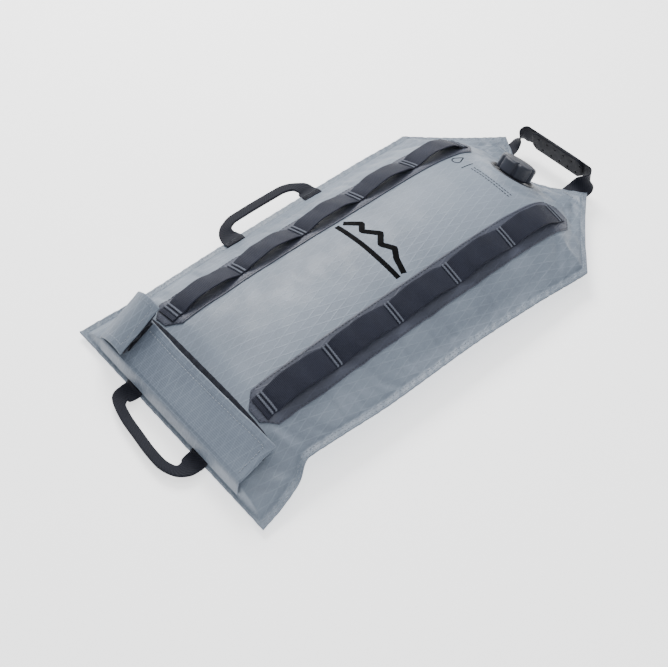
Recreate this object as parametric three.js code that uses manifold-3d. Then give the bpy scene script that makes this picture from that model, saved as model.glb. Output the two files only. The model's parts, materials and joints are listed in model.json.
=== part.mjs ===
// A soft water dry bag lying on its back: a sewn fabric shell around a welded liner.
// Millimetres. The origin is on the flat of the back panel, +X to the bag's right,
// +Y along the bag towards the screw cap, +Z up out of the front panel.
import * as THREE from "three";
import { mergeVertices } from "three/addons/utils/BufferGeometryUtils.js";
import Module from "manifold-3d";

const wasm = await Module();
wasm.setup();

// ---------------------------------------------------------------- driving dimensions
const GAP = 0.4; // air between pieces that touch
const FABRIC = 1.5; // laminated shell fabric
const SEAM = 8; // flat seam allowance around the shell
const LENGTH_TOP = 275; // y of the two top corners

// Outline of the shell from the bottom seam to the top corners: y, half width, seam height.
const OUTLINE = [
  [-278, 153, 6],
  [-255, 149.5, 10],
  [-225, 142, 18],
  [-205, 132.5, 30],
  [-170, 134, 29.5],
  [-100, 137.5, 28],
  [0, 138.5, 29],
  [100, 142, 26],
  [180, 146, 20],
  [275, 64, 20],
];

// Height of the front panel along the middle of the bag: y, height.
const CROWN = [
  [-278, 6.5],
  [-274.5, 9],
  [-271, 27.5],
  [-250, 37.5],
  [-228, 50.5],
  [-205, 60.5],
  [-165, 68],
  [-110, 71.5],
  [60, 71.5],
  [125, 69],
  [165, 62.5],
  [195, 53],
  [225, 35],
  [250, 23],
  [267, 18.5],
  [275, 18.5],
];

const NOTCH_DEPTH = 27; // the top edge dips this far between its corners
const NOTCH_DROP = 10; // and its seam drops this far
const NOTCH_HALF = 64;
const NOTCH_POWER = 1.3; // 1 would be a sharp V and 2 a round bow

// The spout stands square to the sloping front panel near the top seam.
const SPOUT = { y: 212, z: 40, tilt: THREE.MathUtils.degToRad(38) };
const HOLE_R = 28.5;
const FLANGE_R = 32.5;
const FLANGE_T = 2;
const FLANGE_TOP = -0.5; // the flange lies just under the panel
const NECK_R = 15;
const NECK_BORE = 12.6;
const NECK_H = 14.5;
const THREAD = { pitch: 4, crest: 1.2, sunk: 0.6, start: 3.6, turns: 2.25 };
const CAP_R = 22;
const CAP_H = 18;
const CAP_BORE = 18.7;
const CAP_TOP = 4;
const CAP_LIFT = 2.2; // the cap's rim stands this far above the flange
const GROOVE = 0.115; // depth of the cap's finger grooves, as a share of its radius
const SEAL = { r: 17.7, t: 1, air: 0.2 };

// Welded liner: its seams stay this far inside the shell's outline, and its skin off the shell.
const LINER = { inset: 24, air: 2.1, film: 0.9, corner: 26, topHalf: 40, topTaper: 1.6 };

// Webbing daisy chains on laminated patches.
const WEBBING = 25.4; // 1 inch webbing
const WEB_T = 1.6;
const STRIP_X = 75;
const PATCH_HALF = 21;
const PATCH_T = 1;
const PATCH_AIR = 1.1;
const PATCH_CHAMFER = 13;
const PATCH_LOW = -224;
const PATCH_HIGH = 214;
const TACK_FIRST = -208;
const TACK_STEP = 81.5;
const TACKS = 6;
const TACK_HALF = 5; // half the length sewn down at each bar tack
const LOOP_RISE = { left: 8.5, right: 6 }; // how far each webbing loop arches
const TACK_RIDGE = 0.9; // height of a bar tack's ridges above its bed
const TACK_BED = 0.5;

// Flap over the mouth.
const FLAP = { left: -114, right: 113, foldY: -271.5, foldZ: 31, edgeY: -228, slope: 0.6, t: 1.4 };
const FLAP_BOW = 4; // the free edge bows in this far in its middle
const FLAP_DROOP = 9; // and its corners hang this much lower
const HOOK = { left: -100, right: 100, low: -247, t: 1.3 };
const LOOP = { left: -104, right: 108, low: -246, high: -226, t: 1.2 };
const MOUTH = { half: 92, low: -263, high: -250 };
const TAB = { left: -112, right: -75, low: -274, high: -222, rise: 11, air: 1.2, t: 1.4 };
const TAB_HOOK = { left: -104, right: -77, low: -270, high: -226, t: 1.2 };
const TAB_LOOP = { left: -104, right: -76, low: -264, high: -232, t: 0.9 };

// Sewn ends of the handles, as patches of stitching: name, x from, x to, y from, y to.
const ANCHOR_T = 0.8;
const ANCHORS = [
  ["bottom_anchor_left", -66, -42, -277.4, -275],
  ["bottom_anchor_right", 42, 66, -277.4, -275],
  ["side_anchor_front", -136, -131.5, 14, 36],
  ["side_anchor_rear", -135, -130.5, -98, -76],
  ["top_anchor_left", -58, -44, 256, 260],
  ["top_anchor_right", 44, 58, 256, 260],
];

const COLOURS = {
  shell: { color: 0x8d95a1, roughness: 0.75, metalness: 0 },
  liner: { color: 0xd9dde0, roughness: 0.35, metalness: 0 },
  patch: { color: 0x525a69, roughness: 0.7, metalness: 0 },
  webbing: { color: 0x30343f, roughness: 0.85, metalness: 0 },
  thread: { color: 0x6b7484, roughness: 0.6, metalness: 0 },
  hook: { color: 0x474d5a, roughness: 0.9, metalness: 0 },
  grip: { color: 0x2b2e38, roughness: 0.8, metalness: 0 },
  plastic: { color: 0x434955, roughness: 0.5, metalness: 0 },
  rubber: { color: 0x22242a, roughness: 0.7, metalness: 0 },
};

// ---------------------------------------------------------------- small helpers
const clamp01 = (t) => Math.min(1, Math.max(0, t));

function smooth(from, to, value) {
  const t = clamp01((value - from) / (to - from));
  return t * t * (3 - 2 * t);
}

// Straight interpolation in a table whose rows start with the position.
function along(table, position, column = 1) {
  let row = 0;
  while (row < table.length - 2 && position > table[row + 1][0]) {
    row += 1;
  }
  const [low, high] = [table[row], table[row + 1]];
  const t = clamp01((position - low[0]) / (high[0] - low[0]));
  return low[column] + t * (high[column] - low[column]);
}

const steps = (low, high, count) =>
  Array.from({ length: count + 1 }, (_, i) => low + ((high - low) * i) / count);

// ---------------------------------------------------------------- the shell's surface
const dip = (x) => Math.max(0, 1 - Math.abs(x / NOTCH_HALF) ** NOTCH_POWER);
const topness = (row) => smooth(150, LENGTH_TOP, row);

// Rows run straight across the bag, and bend down into the top notch.
const rowY = (x, row) => row - NOTCH_DEPTH * dip(x) * topness(row);

function rowAt(x, y) {
  let row = y;
  for (let i = 0; i < 12; i += 1) {
    row = y + NOTCH_DEPTH * dip(x) * topness(row);
  }
  return row;
}

const seamHeight = (x, row) => along(OUTLINE, row, 2) - NOTCH_DROP * dip(x) * topness(row);

// The front panel's outer surface: full in the middle, boxier towards the bottom end,
// and flattened round the spout by its flange.
function frontAt(x, row) {
  const across = clamp01(Math.abs(x) / (along(OUTLINE, row) - SEAM));
  const power = 2 + 2.6 * (1 - smooth(-272, -150, row));
  const fullness = (1 - across ** power) ** 0.9 * (1 - smooth(258, 271, row));
  const seam = seamHeight(x, row);
  const crown = along(CROWN, row);
  const free = seam + Math.max(0, crown - seam) * fullness;
  const y = rowY(x, row);
  const plane = SPOUT.z - Math.tan(SPOUT.tilt) * (y - SPOUT.y);
  const near = 1 - smooth(FLANGE_R + 7, FLANGE_R + 20, Math.hypot(x, (y - SPOUT.y) / Math.cos(SPOUT.tilt)));
  return free + (plane - free) * near;
}

const frontHeight = (x, y) => frontAt(x, rowAt(x, y));

// The back panel lies flat on z = 0 and lifts to the seam all round.
function backAt(x, row) {
  const across = Math.abs(x) / (along(OUTLINE, row) - SEAM);
  const side = smooth(0.6, 1, across);
  const end = Math.max(smooth(215, 272, row), 1 - smooth(-274, -252, row));
  return seamHeight(x, row) * (1 - (1 - side) * (1 - end));
}

// ---------------------------------------------------------------- geometry makers
// A closed sheet between two grids of points: over(i, j) above under(i, j).
function sheet(across, down, over, under) {
  const points = [];
  const index = [];
  const wide = across + 1;
  const layer = wide * (down + 1);
  for (const side of [over, under]) {
    for (let j = 0; j <= down; j += 1) {
      for (let i = 0; i <= across; i += 1) {
        points.push(...side(i, j));
      }
    }
  }
  const quad = (a, b, c, d) => index.push(a, b, c, a, c, d);
  for (let j = 0; j < down; j += 1) {
    for (let i = 0; i < across; i += 1) {
      const a = j * wide + i;
      quad(a, a + 1, a + 1 + wide, a + wide);
      quad(layer + a, layer + a + wide, layer + a + 1 + wide, layer + a + 1);
    }
  }
  for (let j = 0; j < down; j += 1) {
    const a = j * wide;
    const b = a + across;
    quad(a, a + wide, layer + a + wide, layer + a);
    quad(b, layer + b, layer + b + wide, b + wide);
  }
  for (let i = 0; i < across; i += 1) {
    const a = i;
    const b = down * wide + i;
    quad(a, layer + a, layer + a + 1, a + 1);
    quad(b, b + 1, layer + b + 1, layer + b);
  }
  const geometry = new THREE.BufferGeometry();
  geometry.setAttribute("position", new THREE.Float32BufferAttribute(points, 3));
  geometry.setIndex(index);
  return geometry;
}

// A flat strap: at each station a centre, the way across it, its face normal and its size.
function ribbon(stations, across = 1) {
  const point = (i, j, side) => {
    const s = stations[j];
    return new THREE.Vector3()
      .copy(s.centre)
      .addScaledVector(s.wide, (i / across - 0.5) * s.width)
      .addScaledVector(s.face, (side * s.thick) / 2)
      .toArray();
  };
  return sheet(
    across,
    stations.length - 1,
    (i, j) => point(i, j, 1),
    (i, j) => point(i, j, -1),
  );
}

function solid(geometry) {
  const bare = geometry.clone();
  bare.deleteAttribute("normal");
  bare.deleteAttribute("uv");
  const merged = mergeVertices(bare, 1e-4);
  return new wasm.Manifold(
    new wasm.Mesh({
      numProp: 3,
      vertProperties: new Float32Array(merged.attributes.position.array),
      triVerts: new Uint32Array(merged.index.array),
    }),
  );
}

function fromSolid(body) {
  const mesh = body.getMesh();
  const geometry = new THREE.BufferGeometry();
  geometry.setAttribute("position", new THREE.BufferAttribute(mesh.vertProperties, 3));
  geometry.setIndex(new THREE.BufferAttribute(mesh.triVerts, 1));
  return geometry;
}

const cut = (from, ...tools) =>
  fromSolid(tools.reduce((body, tool) => body.subtract(solid(tool)), solid(from)));

// Turns a lathe's own +Y axis into the spout's axis, at a height above the flange's face.
function onSpout(geometry, height = 0) {
  const placed = geometry.clone();
  placed.translate(0, height, 0);
  placed.rotateX(Math.PI / 2 - SPOUT.tilt);
  placed.translate(0, SPOUT.y, SPOUT.z);
  return placed;
}

// ---------------------------------------------------------------- the assembly
const bag = new THREE.Group();

function add(name, geometry, look) {
  const mesh = new THREE.Mesh(geometry, new THREE.MeshStandardMaterial(COLOURS[look]));
  mesh.name = name;
  bag.add(mesh);
}

// ---- shell panels
const ROWS = [
  -278, -274.5, -271, -263, -255, -248, -240, -232, -225, -215, -205, -190, -170, -145, -110,
  -100, -60, -30, 0, 30, 60, 100, 125, 145, 165, 180, 187, 194, 208, 222, 236, 250, 260, 267, 275,
];
const COLUMNS = 20;

// Columns crowd towards the edges, where the panel curves most.
function columnX(i, count, half) {
  const t = (2 * i) / count - 1;
  return half * Math.sign(t) * (1 - (1 - Math.abs(t)) ** 1.25);
}

function panelGrid(rows, count, height, thickness, inset = 0) {
  const place = (i, j, drop) => {
    const row = rows[j];
    const x = columnX(i, count, along(OUTLINE, row) - inset);
    return [x, rowY(x, row), height(x, row) - drop];
  };
  return sheet(
    count,
    rows.length - 1,
    (i, j) => place(i, j, 0),
    (i, j) => place(i, j, thickness),
  );
}

const frontSheet = panelGrid(ROWS, COLUMNS, (x, row) => frontAt(x, row) + GAP / 2 + FABRIC, FABRIC);
const spoutHole = onSpout(new THREE.CylinderGeometry(HOLE_R, HOLE_R, 30, 32));
const mouthHole = new THREE.BoxGeometry(2 * MOUTH.half, MOUTH.high - MOUTH.low, 80);
mouthHole.translate(0, (MOUTH.high + MOUTH.low) / 2, 50);
add("front_panel", cut(frontSheet, spoutHole, mouthHole), "shell");

const BACK_ROWS = [
  -278, -274.5, -271, -263, -255, -240, -225, -205, -170, -135, -100, -50, 0, 50, 100, 140,
  180, 205, 222, 236, 250, 260, 267, 275,
];
const backTop = (x, row) => {
  const height = backAt(x, row);
  return height + FABRIC - (FABRIC + GAP / 2) * clamp01(height / 6);
};
add("back_panel", panelGrid(BACK_ROWS, 14, backTop, FABRIC), "shell");

// ---- welded liner, one skin with the neck's hole in it
const LINER_ROWS = [
  -252, -240, -225, -205, -170, -130, -80, -20, 40, 90, 130, 165, 180, 194, 208, 222, 236, 246, 256,
];

function linerSkin(offset, inset) {
  const rows = LINER_ROWS.map((row, i) => {
    const first = i === 0 ? offset : 0;
    const last = i === LINER_ROWS.length - 1 ? offset : 0;
    return row + first - last;
  });
  const half = (row) => {
    const corner = LINER.corner * (1 - smooth(-256, -205, row));
    const top = LINER_ROWS[LINER_ROWS.length - 1];
    const taper = LINER.topHalf + (top - row) * LINER.topTaper - (inset - LINER.inset);
    return Math.min(along(OUTLINE, row) - inset - corner, taper);
  };
  const level = (x, row, side) => {
    const high = frontAt(x, row) + GAP / 2 - LINER.air;
    const low = backTop(x, row) + LINER.air;
    const middle = (high + low) / 2;
    const room = Math.max(0.6, (high - low) / 2) - offset;
    return middle + side * Math.max(0.25, room);
  };
  const place = (i, j, side) => {
    const x = columnX(i, 12, half(rows[j]));
    return [x, rowY(x, rows[j]), level(x, rows[j], side)];
  };
  return sheet(
    12,
    rows.length - 1,
    (i, j) => place(i, j, 1),
    (i, j) => place(i, j, -1),
  );
}

const neckHole = onSpout(new THREE.CylinderGeometry(FLANGE_R + 1, FLANGE_R + 1, 12, 24));
const linerOutside = linerSkin(0, LINER.inset);
const linerInside = linerSkin(LINER.film, LINER.inset + 4);
add("inner_liner", cut(linerOutside, linerInside, neckHole), "liner");

// ---- spout: flange under the panel, neck with an outside thread
const lathe = (points, sides) =>
  new THREE.LatheGeometry(
    points.map(([r, h]) => new THREE.Vector2(r, h)),
    sides,
  );

// On the real bag the flange and the neck are one moulding; here they are two simple rings.
const flangeProfile = [
  [NECK_BORE, FLANGE_TOP - FLANGE_T],
  [FLANGE_R, FLANGE_TOP - FLANGE_T],
  [FLANGE_R, FLANGE_TOP - 0.4],
  [FLANGE_R - 0.6, FLANGE_TOP],
  [NECK_BORE, FLANGE_TOP],
  [NECK_BORE, FLANGE_TOP - FLANGE_T],
];
add("spout_flange", onSpout(lathe(flangeProfile, 40)), "plastic");

const NECK_BOTTOM = FLANGE_TOP + 0.3;
const neckProfile = [
  [NECK_BORE, NECK_BOTTOM],
  [NECK_R, NECK_BOTTOM],
  [NECK_R, NECK_H - 0.8],
  [NECK_R - 0.8, NECK_H],
  [NECK_BORE, NECK_H],
  [NECK_BORE, NECK_BOTTOM],
];

class Helix extends THREE.Curve {
  getPoint(t, target = new THREE.Vector3()) {
    const angle = t * THREAD.turns * 2 * Math.PI;
    const height = THREAD.start + t * THREAD.turns * THREAD.pitch;
    return target.set(Math.cos(angle) * NECK_R, height, Math.sin(angle) * NECK_R);
  }
}

// The thread's ridge, with its base sunk into the neck.
function threadRidge() {
  const helix = new Helix();
  const count = 45;
  const corners = [
    [-THREAD.sunk, -1.1],
    [THREAD.crest, -0.35],
    [THREAD.crest, 0.35],
    [-THREAD.sunk, 1.1],
  ];
  const points = [];
  const index = [];
  for (let j = 0; j <= count; j += 1) {
    const at = helix.getPoint(j / count);
    const out = new THREE.Vector3(at.x, 0, at.z).normalize();
    for (const [r, h] of corners) {
      const rise = Math.min(1, j / 3, (count - j) / 3);
      const reach = r < 0 ? r : -0.3 + (r + 0.3) * rise;
      points.push(at.x + out.x * reach, at.y + h, at.z + out.z * reach);
    }
  }
  for (let j = 0; j < count; j += 1) {
    for (let k = 0; k < 4; k += 1) {
      const a = j * 4 + k;
      const b = j * 4 + ((k + 1) % 4);
      index.push(a, b, b + 4, a, b + 4, a + 4);
    }
  }
  const end = count * 4;
  index.push(0, 3, 2, 0, 2, 1, end, end + 1, end + 2, end, end + 2, end + 3);
  const geometry = new THREE.BufferGeometry();
  geometry.setAttribute("position", new THREE.Float32BufferAttribute(points, 3));
  geometry.setIndex(index);
  return geometry;
}

const neckBody = solid(lathe(neckProfile, 40));
const ridge = solid(threadRidge());
add("spout_neck", onSpout(fromSolid(neckBody.add(ridge))), "plastic");

// ---- cap: six wide lobes parted by finger grooves, and a shallow dome
function capOutline(radius) {
  const shape = new THREE.Shape();
  const points = steps(0, 2 * Math.PI, 72)
    .slice(0, -1)
    .map((angle) => {
      const groove = Math.max(0, Math.cos(6 * angle)) ** 6;
      const r = radius * (1 - GROOVE * groove);
      return new THREE.Vector2(r * Math.cos(angle), r * Math.sin(angle));
    });
  shape.setFromPoints(points);
  return shape;
}

function capBlank() {
  const body = new THREE.ExtrudeGeometry(capOutline(CAP_R), { depth: CAP_H, bevelEnabled: false, steps: 1 });
  body.rotateX(-Math.PI / 2);
  const rounded = lathe(
    [
      [0, -0.5],
      [CAP_R + 1, -0.5],
      [CAP_R + 1, CAP_H - 4.5],
      [CAP_R - 0.4, CAP_H - 2.6],
      [CAP_R - 2, CAP_H - 1.2],
      [CAP_R - 6, CAP_H - 0.3],
      [0, CAP_H + 0.4],
    ],
    40,
  );
  return solid(body).intersect(solid(rounded));
}

const capHollow = solid(
  lathe(
    [
      [0, -1],
      [CAP_BORE, -1],
      [CAP_BORE, CAP_H - CAP_TOP],
      [0, CAP_H - CAP_TOP],
    ],
    40,
  ),
);
add("screw_cap", onSpout(fromSolid(capBlank().subtract(capHollow)), CAP_LIFT), "plastic");

// The seal is pressed up against the inside of the cap's top.
const sealDisc = lathe(
  [
    [0, 0],
    [SEAL.r, 0],
    [SEAL.r, SEAL.t - 0.2],
    [SEAL.r - 0.2, SEAL.t],
    [0, SEAL.t],
  ],
  32,
);
add("cap_seal", onSpout(sealDisc, CAP_LIFT + CAP_H - CAP_TOP - SEAL.air - SEAL.t), "rubber");

// ---- daisy chains: patch, webbing and bar tacks on both sides
const panelTop = (x, y) => frontHeight(x, y) + GAP / 2 + FABRIC;

function chamferedHalf(y) {
  const end = Math.min(y - PATCH_LOW, PATCH_HIGH - y);
  return PATCH_HALF - Math.max(0, PATCH_CHAMFER - end);
}

const PATCH_ROWS = [
  PATCH_LOW,
  PATCH_LOW + PATCH_CHAMFER,
  -205,
  -190,
  -170,
  -145,
  -110,
  ...steps(-100, 100, 10),
  125,
  145,
  165,
  180,
  194,
  PATCH_HIGH - PATCH_CHAMFER,
  208,
  PATCH_HIGH,
];

function patch(side) {
  const count = 4;
  const place = (i, j, lift) => {
    const y = PATCH_ROWS[j];
    const half = chamferedHalf(y);
    const x = side * STRIP_X + (i / count - 0.5) * 2 * half;
    return [x, y, panelTop(x, y) + PATCH_AIR + lift];
  };
  return sheet(
    count,
    PATCH_ROWS.length - 1,
    (i, j) => place(i, j, PATCH_T),
    (i, j) => place(i, j, 0),
  );
}

// Webbing lies flat where it is sewn and arches between the tacks.
const tackY = (n) => TACK_FIRST + n * TACK_STEP;

function loopRise(side, y) {
  const n = Math.min(TACKS - 2, Math.max(0, Math.floor((y - TACK_FIRST) / TACK_STEP)));
  const t = clamp01((y - tackY(n) - TACK_HALF) / (TACK_STEP - 2 * TACK_HALF));
  const rise = side < 0 ? LOOP_RISE.left : LOOP_RISE.right;
  return rise * Math.sin(Math.PI * t) ** 0.75;
}

function webbingRows() {
  const rows = [tackY(0) - TACK_HALF - 4];
  for (let n = 0; n < TACKS - 1; n += 1) {
    const start = tackY(n) + TACK_HALF;
    rows.push(tackY(n) - TACK_HALF);
    rows.push(...steps(start, start + TACK_STEP - 2 * TACK_HALF, 10).slice(0, -1));
  }
  rows.push(tackY(TACKS - 1) - TACK_HALF, tackY(TACKS - 1) + TACK_HALF);
  return rows;
}

const stripAt = (side, x, y) => panelTop(x, y) + PATCH_AIR + PATCH_T + 0.7;

function webbing(side) {
  const rows = webbingRows();
  const count = 2;
  const place = (i, j, lift) => {
    const x = side * STRIP_X + (i / count - 0.5) * WEBBING;
    return [x, rows[j], stripAt(side, x, rows[j]) + loopRise(side, rows[j]) + lift];
  };
  return sheet(
    count,
    rows.length - 1,
    (i, j) => place(i, j, WEB_T),
    (i, j) => place(i, j, 0),
  );
}

// A bar tack: a thin bed of stitching with two raised ridges across the webbing.
function barTack(side, y) {
  const ridges = [-3.4, -2.6, -1.4, -0.8, 0.8, 1.4, 2.6, 3.4];
  const high = TACK_BED + TACK_RIDGE;
  const lifts = [TACK_BED, high, high, TACK_BED, TACK_BED, high, high, TACK_BED];
  const count = 2;
  const place = (i, j, over) => {
    const x = side * STRIP_X + (i / count - 0.5) * (WEBBING - 3);
    const at = y + ridges[j];
    const base = stripAt(side, x, at) + WEB_T + GAP;
    return [x, at, over ? base + lifts[j] : base];
  };
  return sheet(
    count,
    ridges.length - 1,
    (i, j) => place(i, j, true),
    (i, j) => place(i, j, false),
  );
}

for (const [name, side] of [
  ["left", -1],
  ["right", 1],
]) {
  add(`${name}_patch`, patch(side), "patch");
  add(`${name}_webbing`, webbing(side), "webbing");
  for (let n = 0; n < TACKS; n += 1) {
    add(`${name}_bartack_${n + 1}`, barTack(side, tackY(n)), "thread");
  }
}

// ---- mouth flap, its hook strip, and the loop strip it presses onto
const flapDroop = (x, y) => {
  const reach = clamp01((y - FLAP.foldY) / (FLAP.edgeY - FLAP.foldY));
  return FLAP_DROOP * reach * Math.abs(x / FLAP.right) ** 3.2;
};
const flapEdge = (x) => FLAP.edgeY - FLAP_BOW * Math.cos((Math.PI * x) / (2 * 116));
const flapUnder = (x, y) => FLAP.foldZ + FLAP.slope * (y - FLAP.foldY) - flapDroop(x, y);

function flapPanel() {
  const place = (i, j, lift) => {
    const x = FLAP.left + ((FLAP.right - FLAP.left) * i) / 14;
    const y = FLAP.foldY + ((flapEdge(x) - FLAP.foldY) * j) / 5;
    return [x, y, flapUnder(x, y) + lift];
  };
  return sheet(
    14,
    5,
    (i, j) => place(i, j, FLAP.t),
    (i, j) => place(i, j, 0),
  );
}

function hookStrip() {
  const place = (i, j, lift) => {
    const x = HOOK.left + ((HOOK.right - HOOK.left) * i) / 14;
    const y = HOOK.low + ((flapEdge(x) - 2 - HOOK.low) * j) / 2;
    return [x, y, flapUnder(x, y) - 1.5 * GAP - HOOK.t + lift];
  };
  return sheet(
    14,
    2,
    (i, j) => place(i, j, HOOK.t),
    (i, j) => place(i, j, 0),
  );
}

function loopStrip() {
  const place = (i, j, lift) => {
    const x = LOOP.left + ((LOOP.right - LOOP.left) * i) / 16;
    const inset = i === 0 || i === 16 ? 7 : 0; // the strip's ends are rounded
    const y = LOOP.low + inset + ((LOOP.high - LOOP.low - 2 * inset) * j) / 3;
    return [x, y, panelTop(x, y) + 2 * GAP + lift];
  };
  return sheet(
    16,
    3,
    (i, j) => place(i, j, LOOP.t),
    (i, j) => place(i, j, 0),
  );
}

add("flap_panel", flapPanel(), "shell");
add("flap_hook_strip", hookStrip(), "hook");
add("mouth_loop_strip", loopStrip(), "hook");

// ---- end tab, folded back over the flap's left end
const tabArch = (x) => {
  const t = (x - TAB.left) / (TAB.right - TAB.left);
  return TAB.air + TAB.rise * Math.sin(Math.PI * Math.min(1, t * 0.72 + 0.04));
};
const tabAt = (x, y) => FLAP.foldZ + FLAP.slope * (y - FLAP.foldY) + FLAP.t + tabArch(x);

function tabSheet(area, base) {
  const place = (i, j, lift) => {
    const x = area.left + ((area.right - area.left) * i) / 6;
    const y = area.low + ((area.high - area.low) * j) / 4;
    return [x, y, tabAt(x, y) + base + lift];
  };
  return sheet(
    6,
    4,
    (i, j) => place(i, j, area.t),
    (i, j) => place(i, j, 0),
  );
}

add("end_tab_panel", tabSheet(TAB, 0), "shell");
add("end_tab_hook", tabSheet(TAB_HOOK, -1.5 * GAP - TAB_HOOK.t), "hook");

function flapLoopPad() {
  const place = (i, j, lift) => {
    const x = TAB_LOOP.left + ((TAB_LOOP.right - TAB_LOOP.left) * i) / 3;
    const y = TAB_LOOP.low + ((TAB_LOOP.high - TAB_LOOP.low) * j) / 3;
    return [x, y, flapUnder(x, y) + FLAP.t + GAP + lift];
  };
  return sheet(
    3,
    3,
    (i, j) => place(i, j, TAB_LOOP.t),
    (i, j) => place(i, j, 0),
  );
}

add("flap_loop_pad", flapLoopPad(), "hook");

// ---- handles
const vec = (x, y, z) => new THREE.Vector3(x, y, z);

// Stations of a strap along a curve: a rule gives the face normal, width and thickness at t.
// The strap leaves its seam square, so its ends lie across the way given as ends.
function strapStations(points, count, rule, ends = null) {
  const curve = new THREE.CatmullRomCurve3(points, false, "centripetal");
  return steps(0, 1, count).map((t) => {
    const centre = curve.getPointAt(t);
    const forward = curve.getTangentAt(t);
    const { face, width, thick } = rule(t);
    const wide = new THREE.Vector3().crossVectors(forward, face).normalize();
    if (ends) {
      const sewn = ends.clone().multiplyScalar(Math.sign(ends.dot(wide)));
      wide.lerp(sewn, 1 - smooth(0.01, 0.09, Math.min(t, 1 - t))).normalize();
    }
    const square = new THREE.Vector3().crossVectors(wide, forward).normalize();
    return { centre, wide, face: square, width, thick };
  });
}

// Top handle: each leg leaves the seam flat, twists a quarter turn and then turns the corner
// into an upright grip. Each key is a centre and the way across the strap there.
const gripWide = vec(0, -0.25, 1);
const topKeys = [
  [vec(-47, 276.5, 20), vec(1, 0, 0)],
  [vec(-47.2, 280.5, 21.8), vec(0.9, 0, 0.4)],
  [vec(-48, 284.5, 25), vec(0.4, 0, 0.9)],
  [vec(-45, 288.5, 29.5), vec(0.05, -0.15, 1)],
  [vec(-37, 289.6, 32), gripWide],
  [vec(-18, 290, 32.5), gripWide],
  [vec(6, 290.4, 32.5), gripWide],
  [vec(30, 290.8, 32.5), gripWide],
  [vec(46, 290.6, 32), gripWide],
  [vec(54, 288.8, 29.5), vec(-0.05, -0.15, 1)],
  [vec(56, 285, 26), vec(-0.4, 0, 0.9)],
  [vec(51, 282, 22.3), vec(-0.9, 0, 0.4)],
  [vec(50.5, 277.8, 20), vec(-1, 0, 0)],
];

function keyedStations(keys, perKey, width, thick) {
  const curve = new THREE.CatmullRomCurve3(
    keys.map(([centre]) => centre),
    false,
    "centripetal",
  );
  return steps(0, keys.length - 1, (keys.length - 1) * perKey).map((at) => {
    const k = Math.min(keys.length - 2, Math.floor(at));
    const t = at / (keys.length - 1);
    const forward = curve.getTangent(t);
    const wide = keys[k][1].clone().normalize().lerp(keys[k + 1][1].clone().normalize(), at - k);
    wide.addScaledVector(forward, -wide.dot(forward)).normalize();
    const face = new THREE.Vector3().crossVectors(wide, forward).normalize();
    return { centre: curve.getPoint(t), wide, face, width, thick };
  });
}

add("top_handle_webbing", ribbon(keyedStations(topKeys, 3, WEBBING, WEB_T)), "webbing");

const upright = vec(0, 1, 0.25);
const padPath = [vec(-33, 286.4, 32.5), vec(6, 287.2, 32.5), vec(43, 287.7, 32.5)];
const padStations = strapStations(padPath, 8, () => ({ face: upright, width: 30, thick: 3.2 }));
const padHoles = [];
const PAD_LEAN = Math.atan2(0.25, 1);
for (const [row, start] of [
  [7, -22],
  [-7, -28],
]) {
  for (let n = 0; n < 6; n += 1) {
    const x = start + n * 12.5;
    const hole = new THREE.CylinderGeometry(1.2, 1.2, 14, 6);
    hole.rotateX(PAD_LEAN);
    hole.translate(x, 287.1 + x * 0.017 - row * 0.25, 32.5 + row);
    padHoles.push(hole);
  }
}
add("top_handle_pad", cut(ribbon(padStations), ...padHoles), "grip");

// Side handle: a folded strap standing off the left edge.
const SIDE_AXIS = { x: -138.5, z: 28 };
const sidePath = [
  vec(SIDE_AXIS.x - 3, -87, SIDE_AXIS.z),
  vec(-146, -87, 29),
  vec(-153, -84, 31),
  vec(-158, -74, 32),
  vec(-159.5, -55, 32),
  vec(-160, -31, 32),
  vec(-160, -10, 32),
  vec(-159.5, 3, 32),
  vec(-155, 15, 31.5),
  vec(-151, 20, 31),
  vec(-146, 24, 29),
  vec(SIDE_AXIS.x - 3, 24, SIDE_AXIS.z),
];
const foldedWidth = (t) => 12 + 12 * (1 - smooth(0.04, 0.2, Math.min(t, 1 - t)));
const foldedThick = (t) => 3.6 - 1.8 * (1 - smooth(0.04, 0.2, Math.min(t, 1 - t)));
const foldedRule = (face) => (t) => ({ face, width: foldedWidth(t), thick: foldedThick(t) });
const sideStations = strapStations(sidePath, 30, foldedRule(vec(0, 0, 1)), vec(0, 1, 0));
add("side_handle_strap", ribbon(sideStations), "webbing");

// Bottom handle: the same folded strap round the middle of the bottom seam.
const BOTTOM_AXIS = { y: -278, z: 6 };
const bottomPath = [
  vec(-54, BOTTOM_AXIS.y - 1.5, 6.5),
  vec(-54.5, -285, 7.5),
  vec(-55, -292, 8),
  vec(-48, -298, 8.5),
  vec(-30, -303, 8.5),
  vec(-5, -306, 8.5),
  vec(20, -308, 8.5),
  vec(40, -308.5, 8.5),
  vec(53, -303, 8),
  vec(56, -292, 8),
  vec(54.5, -285, 7.5),
  vec(54, BOTTOM_AXIS.y - 1.5, 6.5),
];
const bottomStations = strapStations(bottomPath, 30, foldedRule(vec(0, 0.15, 1)), vec(1, 0, 0));
add("bottom_handle_strap", ribbon(bottomStations), "webbing");

// Sewn ends of the handles, on top of the seam allowance.
function anchor(x0, x1, y0, y1) {
  const place = (i, j, lift) => {
    const x = x0 + ((x1 - x0) * i) / 3;
    const y = y0 + ((y1 - y0) * j) / 2;
    return [x, y, panelTop(x, y) + GAP + lift];
  };
  return sheet(
    3,
    2,
    (i, j) => place(i, j, ANCHOR_T),
    (i, j) => place(i, j, 0),
  );
}

for (const [name, ...area] of ANCHORS) {
  add(name, anchor(...area), "thread");
}

export default bag;
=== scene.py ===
"""A filled soft dry bag lying on its back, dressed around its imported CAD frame.

Shape code works in millimetres, as the CAD does, and meshes are written in metres.
"""
import json
import math

import bmesh
import bpy
import numpy as np
from mathutils import Matrix, Vector

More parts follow.
